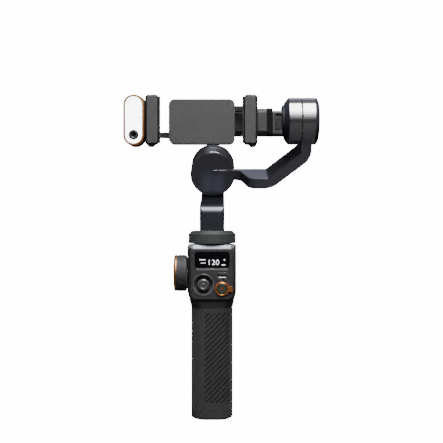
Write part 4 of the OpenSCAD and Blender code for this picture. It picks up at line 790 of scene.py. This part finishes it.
# The printed bar glows with the display's material: a painted glow.
mark = start("menu_mark", bpy.ops.mesh.primitive_cube_add, size=1)
bpy.ops.transform.resize(value=(6.4 * MM, 0.25 * MM, 0.42 * MM), center_override=(0, 0, 0))
finish_piece(mark, screen_and_mark_glow, Matrix.Translation((8.85 * MM, -21.86 * MM, 120.9 * MM)), ease=0.00008)
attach(mark, "menu_key")
print("controls made")

# %% [markdown]
# ## The lens and the display's corners
# The lens of the sensor sits in a ring that is wider than the hole and hides its edge. The display
# window has rounded corners: a thin frame behind the panel fills them. The frame starts as a flat
# rectangle whose four corners are rounded, and its outline is extruded outwards and backwards.

# %% Lens ring and display frame
lens_place = facing_front(-64.3, 239.25)
core = turned("lens_core", [(3.7, 28.6), (3.7, 30.9), (2.1, 30.9), (1.9, 30.5), (1.2, 30.35)])
finish_piece(core, lens_gloss, lens_place, ease=0)
take_over(core, "sensor_lens")
collar = turned("lens_ring", [(1.95, 30.92), (1.95, 31.0), (2.2, 31.3), (2.6, 31.34), (3.5, 31.34),
                              (4.15, 31.1), (4.15, 30.97)], tube=True)
finish_piece(collar, lens_plastic, lens_place, ease=0, smooth=50)
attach(collar, nodes["sensor_lens"]["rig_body"])


def outline_ring(title, size, corner, thick, height, wider, material, place, body="handle"):
    """A flat ring that follows a rectangle with rounded corners."""
    ring = start(title, bpy.ops.mesh.primitive_plane_add, size=1)
    bpy.ops.transform.resize(value=(size[0] * MM, size[1] * MM, 1), center_override=(0, 0, 0))
    bpy.ops.mesh.bevel(offset=corner * MM, segments=8, affect="VERTICES")
    bpy.ops.mesh.delete(type="ONLY_FACE")
    bpy.ops.mesh.select_all(action="SELECT")
    grow = tuple((side + 2 * wider) / side for side in size)
    shrink = tuple(1 / g for g in grow)
    for step, (across, up) in ((height, (1, 1)), (0, grow), (-height, (1, 1)), (0, shrink)):
        bpy.ops.mesh.extrude_region_move(TRANSFORM_OT_translate={"value": (0, 0, step * MM)})
        bpy.ops.transform.resize(value=(across, up, 1), center_override=(0, 0, 0))
    bpy.ops.mesh.select_all(action="SELECT")
    bpy.ops.mesh.remove_doubles(threshold=0.000001)
    bpy.ops.mesh.normals_make_consistent(inside=False)
    finish_piece(ring, material, place, ease=thick * MM)
    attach(ring, body)
    print(title, len(ring.data.polygons), "faces")


outline_ring("display_frame", (29.3, 13.5), 2.3, 0, 0.12, 0.9, panel_plastic,
             facing_front(0.25, 135.5) @ Matrix.Translation((0, 0, 20.95 * MM)))
# The menu lip's paler plastic adds a painted highlight along its rim.
outline_ring("menu_lip", (9.4, 5.6), 2.79, 0.08, 0.25, 0.4, lip_painted_highlight_plastic,
             facing_front(8.85, 121.7) @ Matrix.Translation((0, 0, 21.15 * MM)))
outline_ring("sensor_edge", (13.7, 38.6), 6.82, 0.06, 0.2, 1.6, gold_metal,
             facing_front(-64.3, 251.4) @ Matrix.Translation((0, 0, 31.12 * MM)),
             body=nodes["sensor_rim"]["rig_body"])

# %% [markdown]
# The sensor module swells a little towards its back, where its magnets and its own light board
# are. The upper part of the back is moved up and the finish stays the same.

# %% Sensor module
BACK_START, MODULE_MIDDLE, BACK_RISE = -0.0135, 0.2514, 0.0026
module = copy_of("sensor_body", "sensor_module")
for corner in module.data.vertices:
    if corner.co.y > BACK_START and corner.co.z > MODULE_MIDDLE:
        corner.co.z += BACK_RISE
deselect()
module.select_set(True)
bpy.ops.object.shade_smooth_by_angle(angle=radians(30))
take_over(module, "sensor_body")
print("sensor module:", len(module.data.polygons), "faces")

# %% [markdown]
# ## The display
# The window shows a plain screen: a number in the middle and a few bars round it. A text object is
# turned into a mesh before its place is applied, because a text keeps its own frame otherwise.

# %% Figures and bars behind the glass
FACE = -20.93


def lit(piece, x, z):
    piece.data.transform(Matrix.Translation((x * MM, FACE * MM, z * MM)))
    piece.data.materials.clear()
    piece.data.materials.append(screen_and_mark_glow)
    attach(piece, "handle")


deselect()
bpy.ops.object.text_add(location=(0, 0, 0))
words = bpy.context.object
words.name = "display_figures"
words.data.body, words.data.size, words.data.extrude = "120", 6.3 * MM, 0.03 * MM
words.data.align_x, words.data.align_y, words.data.space_character = "CENTER", "CENTER", 1.1
bpy.ops.object.convert(target="MESH")
words.data.transform(Matrix.Rotation(pi / 2, 4, "X"))
lit(words, 1.35, 133.2)
for title, x, z, w, h in [("display_bar_1", -7.9, 135.6, 5.2, 0.8),
                          ("display_bar_2", -7.3, 132.9, 4.0, 0.5),
                          ("display_mark_1", 10.6, 135.5, 0.9, 1.2),
                          ("display_mark_2", 9.8, 131.3, 2.9, 0.9)]:
    bar = start(title, bpy.ops.mesh.primitive_cube_add, size=1)
    bpy.ops.transform.resize(value=(w * MM, 0.06 * MM, h * MM), center_override=(0, 0, 0))
    bpy.ops.object.mode_set(mode="OBJECT")
    lit(bar, x, z)
print("display:", len(words.data.polygons), "faces in the figures")


# %% [markdown]
# ## Light, floor and camera
# A product like this is best shown on white, under one long soft light that hangs in front of
# it and above it, which draws a bright band along every round metal part. What lies behind and
# above is a dim bluish wall, and the front is left dark, so that flat faces keep their tone. Three
# wide fills light the back and the sides. They are kept out of mirror images, because each would
# show as a pale patch on the coated arms. The floor sweeps up behind the object, so there is no
# horizon. The paper glows to the camera alone, which keeps it pale without lighting the object.

# %% Floor and backdrop in one sweep
FLOOR_SIZE, FLOOR_LEVEL = 6, -0.0002
BACK_EDGE, WALL_HEIGHT, WALL_BEND = 2.9, 4, 1.6
PAPER_GLOW = 290.0


def camera_only(tree, strong, weak=0.0):
    """A number that is strong where the camera looks and weak for every other ray."""
    ray = tree.nodes.new("ShaderNodeLightPath")
    range_ = tree.nodes.new("ShaderNodeMapRange")
    range_.inputs[3].default_value, range_.inputs[4].default_value = weak, strong
    tree.links.new(ray.outputs["Is Camera Ray"], range_.inputs[0])
    return range_.outputs[0]


deselect()
bpy.ops.mesh.primitive_plane_add(size=FLOOR_SIZE, location=(0, 0, FLOOR_LEVEL))
sweep = bpy.context.object
sweep.name = "sweep"
for edge in sweep.data.edges:
    edge.select = all(sweep.data.vertices[v].co.y > BACK_EDGE for v in edge.vertices)
for corner in sweep.data.vertices:
    corner.select = corner.co.y > BACK_EDGE
sweep.data.polygons[0].select = False
bpy.ops.object.mode_set(mode="EDIT")
bpy.ops.mesh.extrude_region_move(TRANSFORM_OT_translate={"value": (0, 0, WALL_HEIGHT)})
bpy.ops.mesh.select_all(action="DESELECT")
bpy.ops.object.mode_set(mode="OBJECT")
for edge in sweep.data.edges:
    ends = [sweep.data.vertices[i].co for i in edge.vertices]
    edge.select = all(end.y > BACK_EDGE and end.z < 0.1 for end in ends)
bpy.ops.object.mode_set(mode="EDIT")
bpy.ops.mesh.bevel(offset=WALL_BEND, segments=16)
bpy.ops.object.mode_set(mode="OBJECT")
bpy.ops.object.transform_apply(location=True, rotation=True, scale=True)
bpy.ops.object.shade_smooth()
paper = Finish("paper", Specular_IOR_Level=0.1)
tone = paper.noise(0.5, detail=2)
shade = paper.mix(tone, (0.05, 0.05, 0.0505, 1), (0.053, 0.053, 0.053, 1))
sweep.data.materials.append(paper.feed(Base_Color=shade, Emission_Color=shade, Roughness=0.85 + tone * 0.1))
paper.tree.links.new(camera_only(paper.tree, PAPER_GLOW), paper.shader.inputs["Emission Strength"])
print("floor:", len(sweep.data.polygons), "faces")


# %% Soft lights
def soft_light(name, place, aim, size, power, tint=(1, 1, 1)):
    lamp = bpy.data.lights.new(name, "AREA")
    lamp.shape, lamp.size, lamp.size_y, lamp.energy, lamp.color = "RECTANGLE", size[0], size[1], power, tint
    holder = bpy.data.objects.new(name, lamp)
    bpy.context.collection.objects.link(holder)
    holder.location = place
    holder.rotation_euler = (Vector(aim) - Vector(place)).to_track_quat("-Z", "Y").to_euler()
    return holder


middle = (0.02, 0, 0.17)
motor = (0.08, 0, 0.25)
soft_light("long_box", (0.1, -0.463, 1.164), motor, (0.5, 0.91), 26, (1.0, 0.985, 0.97))
soft_light("middle_box", (0.1, -0.88, 0.827), motor, (0.5, 0.22), 2.4)
soft_light("low_box", (0.1, -0.98, 0.63), motor, (0.5, 0.22), 0.55)
soft_light("lowest_box", (0.1, -1.03, 0.435), motor, (0.5, 0.2), 0.12)
soft_light("left_side", (-1.2, -0.5, 0.5), middle, (0.5, 1.1), 1.2)
soft_light("right_side", (1.3, -0.4, 0.4), middle, (0.5, 1.1), 0.2)
soft_light("back_wall", (0.25, 1.05, 1.35), middle, (1.2, 0.6), 1.7, (0.78, 0.79, 1.0))
for side, place, power in [("back", (0.3, 1.3, 0.3), 11), ("right", (1.3, 0.9, 0.5), 7),
                           ("left", (-1.3, 0.9, 0.5), 7)]:
    fill = soft_light(side + "_fill", place, middle, (1.0, 0.6), power, (0.95, 0.96, 1.0))
    fill.visible_glossy = False

# %% The wall round the object, dim in front and brighter behind
WALL_GLOW = 17.5
FRONT_END, BACK_END = -0.3, 0.7
FRONT_LIGHT, BACK_LIGHT = 0.032, 0.19
world = bpy.data.worlds.new("studio")
world.use_nodes = True
wall = world.node_tree.nodes["Background"]
wall.inputs["Color"].default_value = (0.8, 0.84, 1.0, 1)
where = world.node_tree.nodes.new("ShaderNodeTexCoord")
parts = world.node_tree.nodes.new("ShaderNodeSeparateXYZ")
behind = world.node_tree.nodes.new("ShaderNodeMapRange")
for key, value in {1: FRONT_END, 2: BACK_END, 3: FRONT_LIGHT, 4: BACK_LIGHT}.items():
    behind.inputs[key].default_value = value
world.node_tree.links.new(where.outputs["Generated"], parts.inputs[0])
world.node_tree.links.new(parts.outputs["Y"], behind.inputs[0])
seen = camera_only(world.node_tree, WALL_GLOW)
world.node_tree.links.new(behind.outputs[0], seen.node.inputs[3])
world.node_tree.links.new(seen, wall.inputs["Strength"])
bpy.context.scene.world = world
print("wall light from", FRONT_LIGHT, "in front to", BACK_LIGHT, "behind")

# %% Camera
SENSOR_WIDTH = 36
PICTURE_PIXELS, FOCAL_PIXELS = 443, 715
lens = bpy.data.cameras.new("camera")
lens.sensor_width = SENSOR_WIDTH
lens.lens = SENSOR_WIDTH * FOCAL_PIXELS / PICTURE_PIXELS
lens.clip_start = 0.01
camera = bpy.data.objects.new("camera", lens)
camera.location = (0.00815, -0.62, 0.1677)
camera.rotation_euler = (pi / 2, 0, 0)
bpy.context.collection.objects.link(camera)
bpy.context.scene.camera = camera
print("camera at", tuple(round(v, 3) for v in camera.location), "lens", round(lens.lens, 1), "mm")
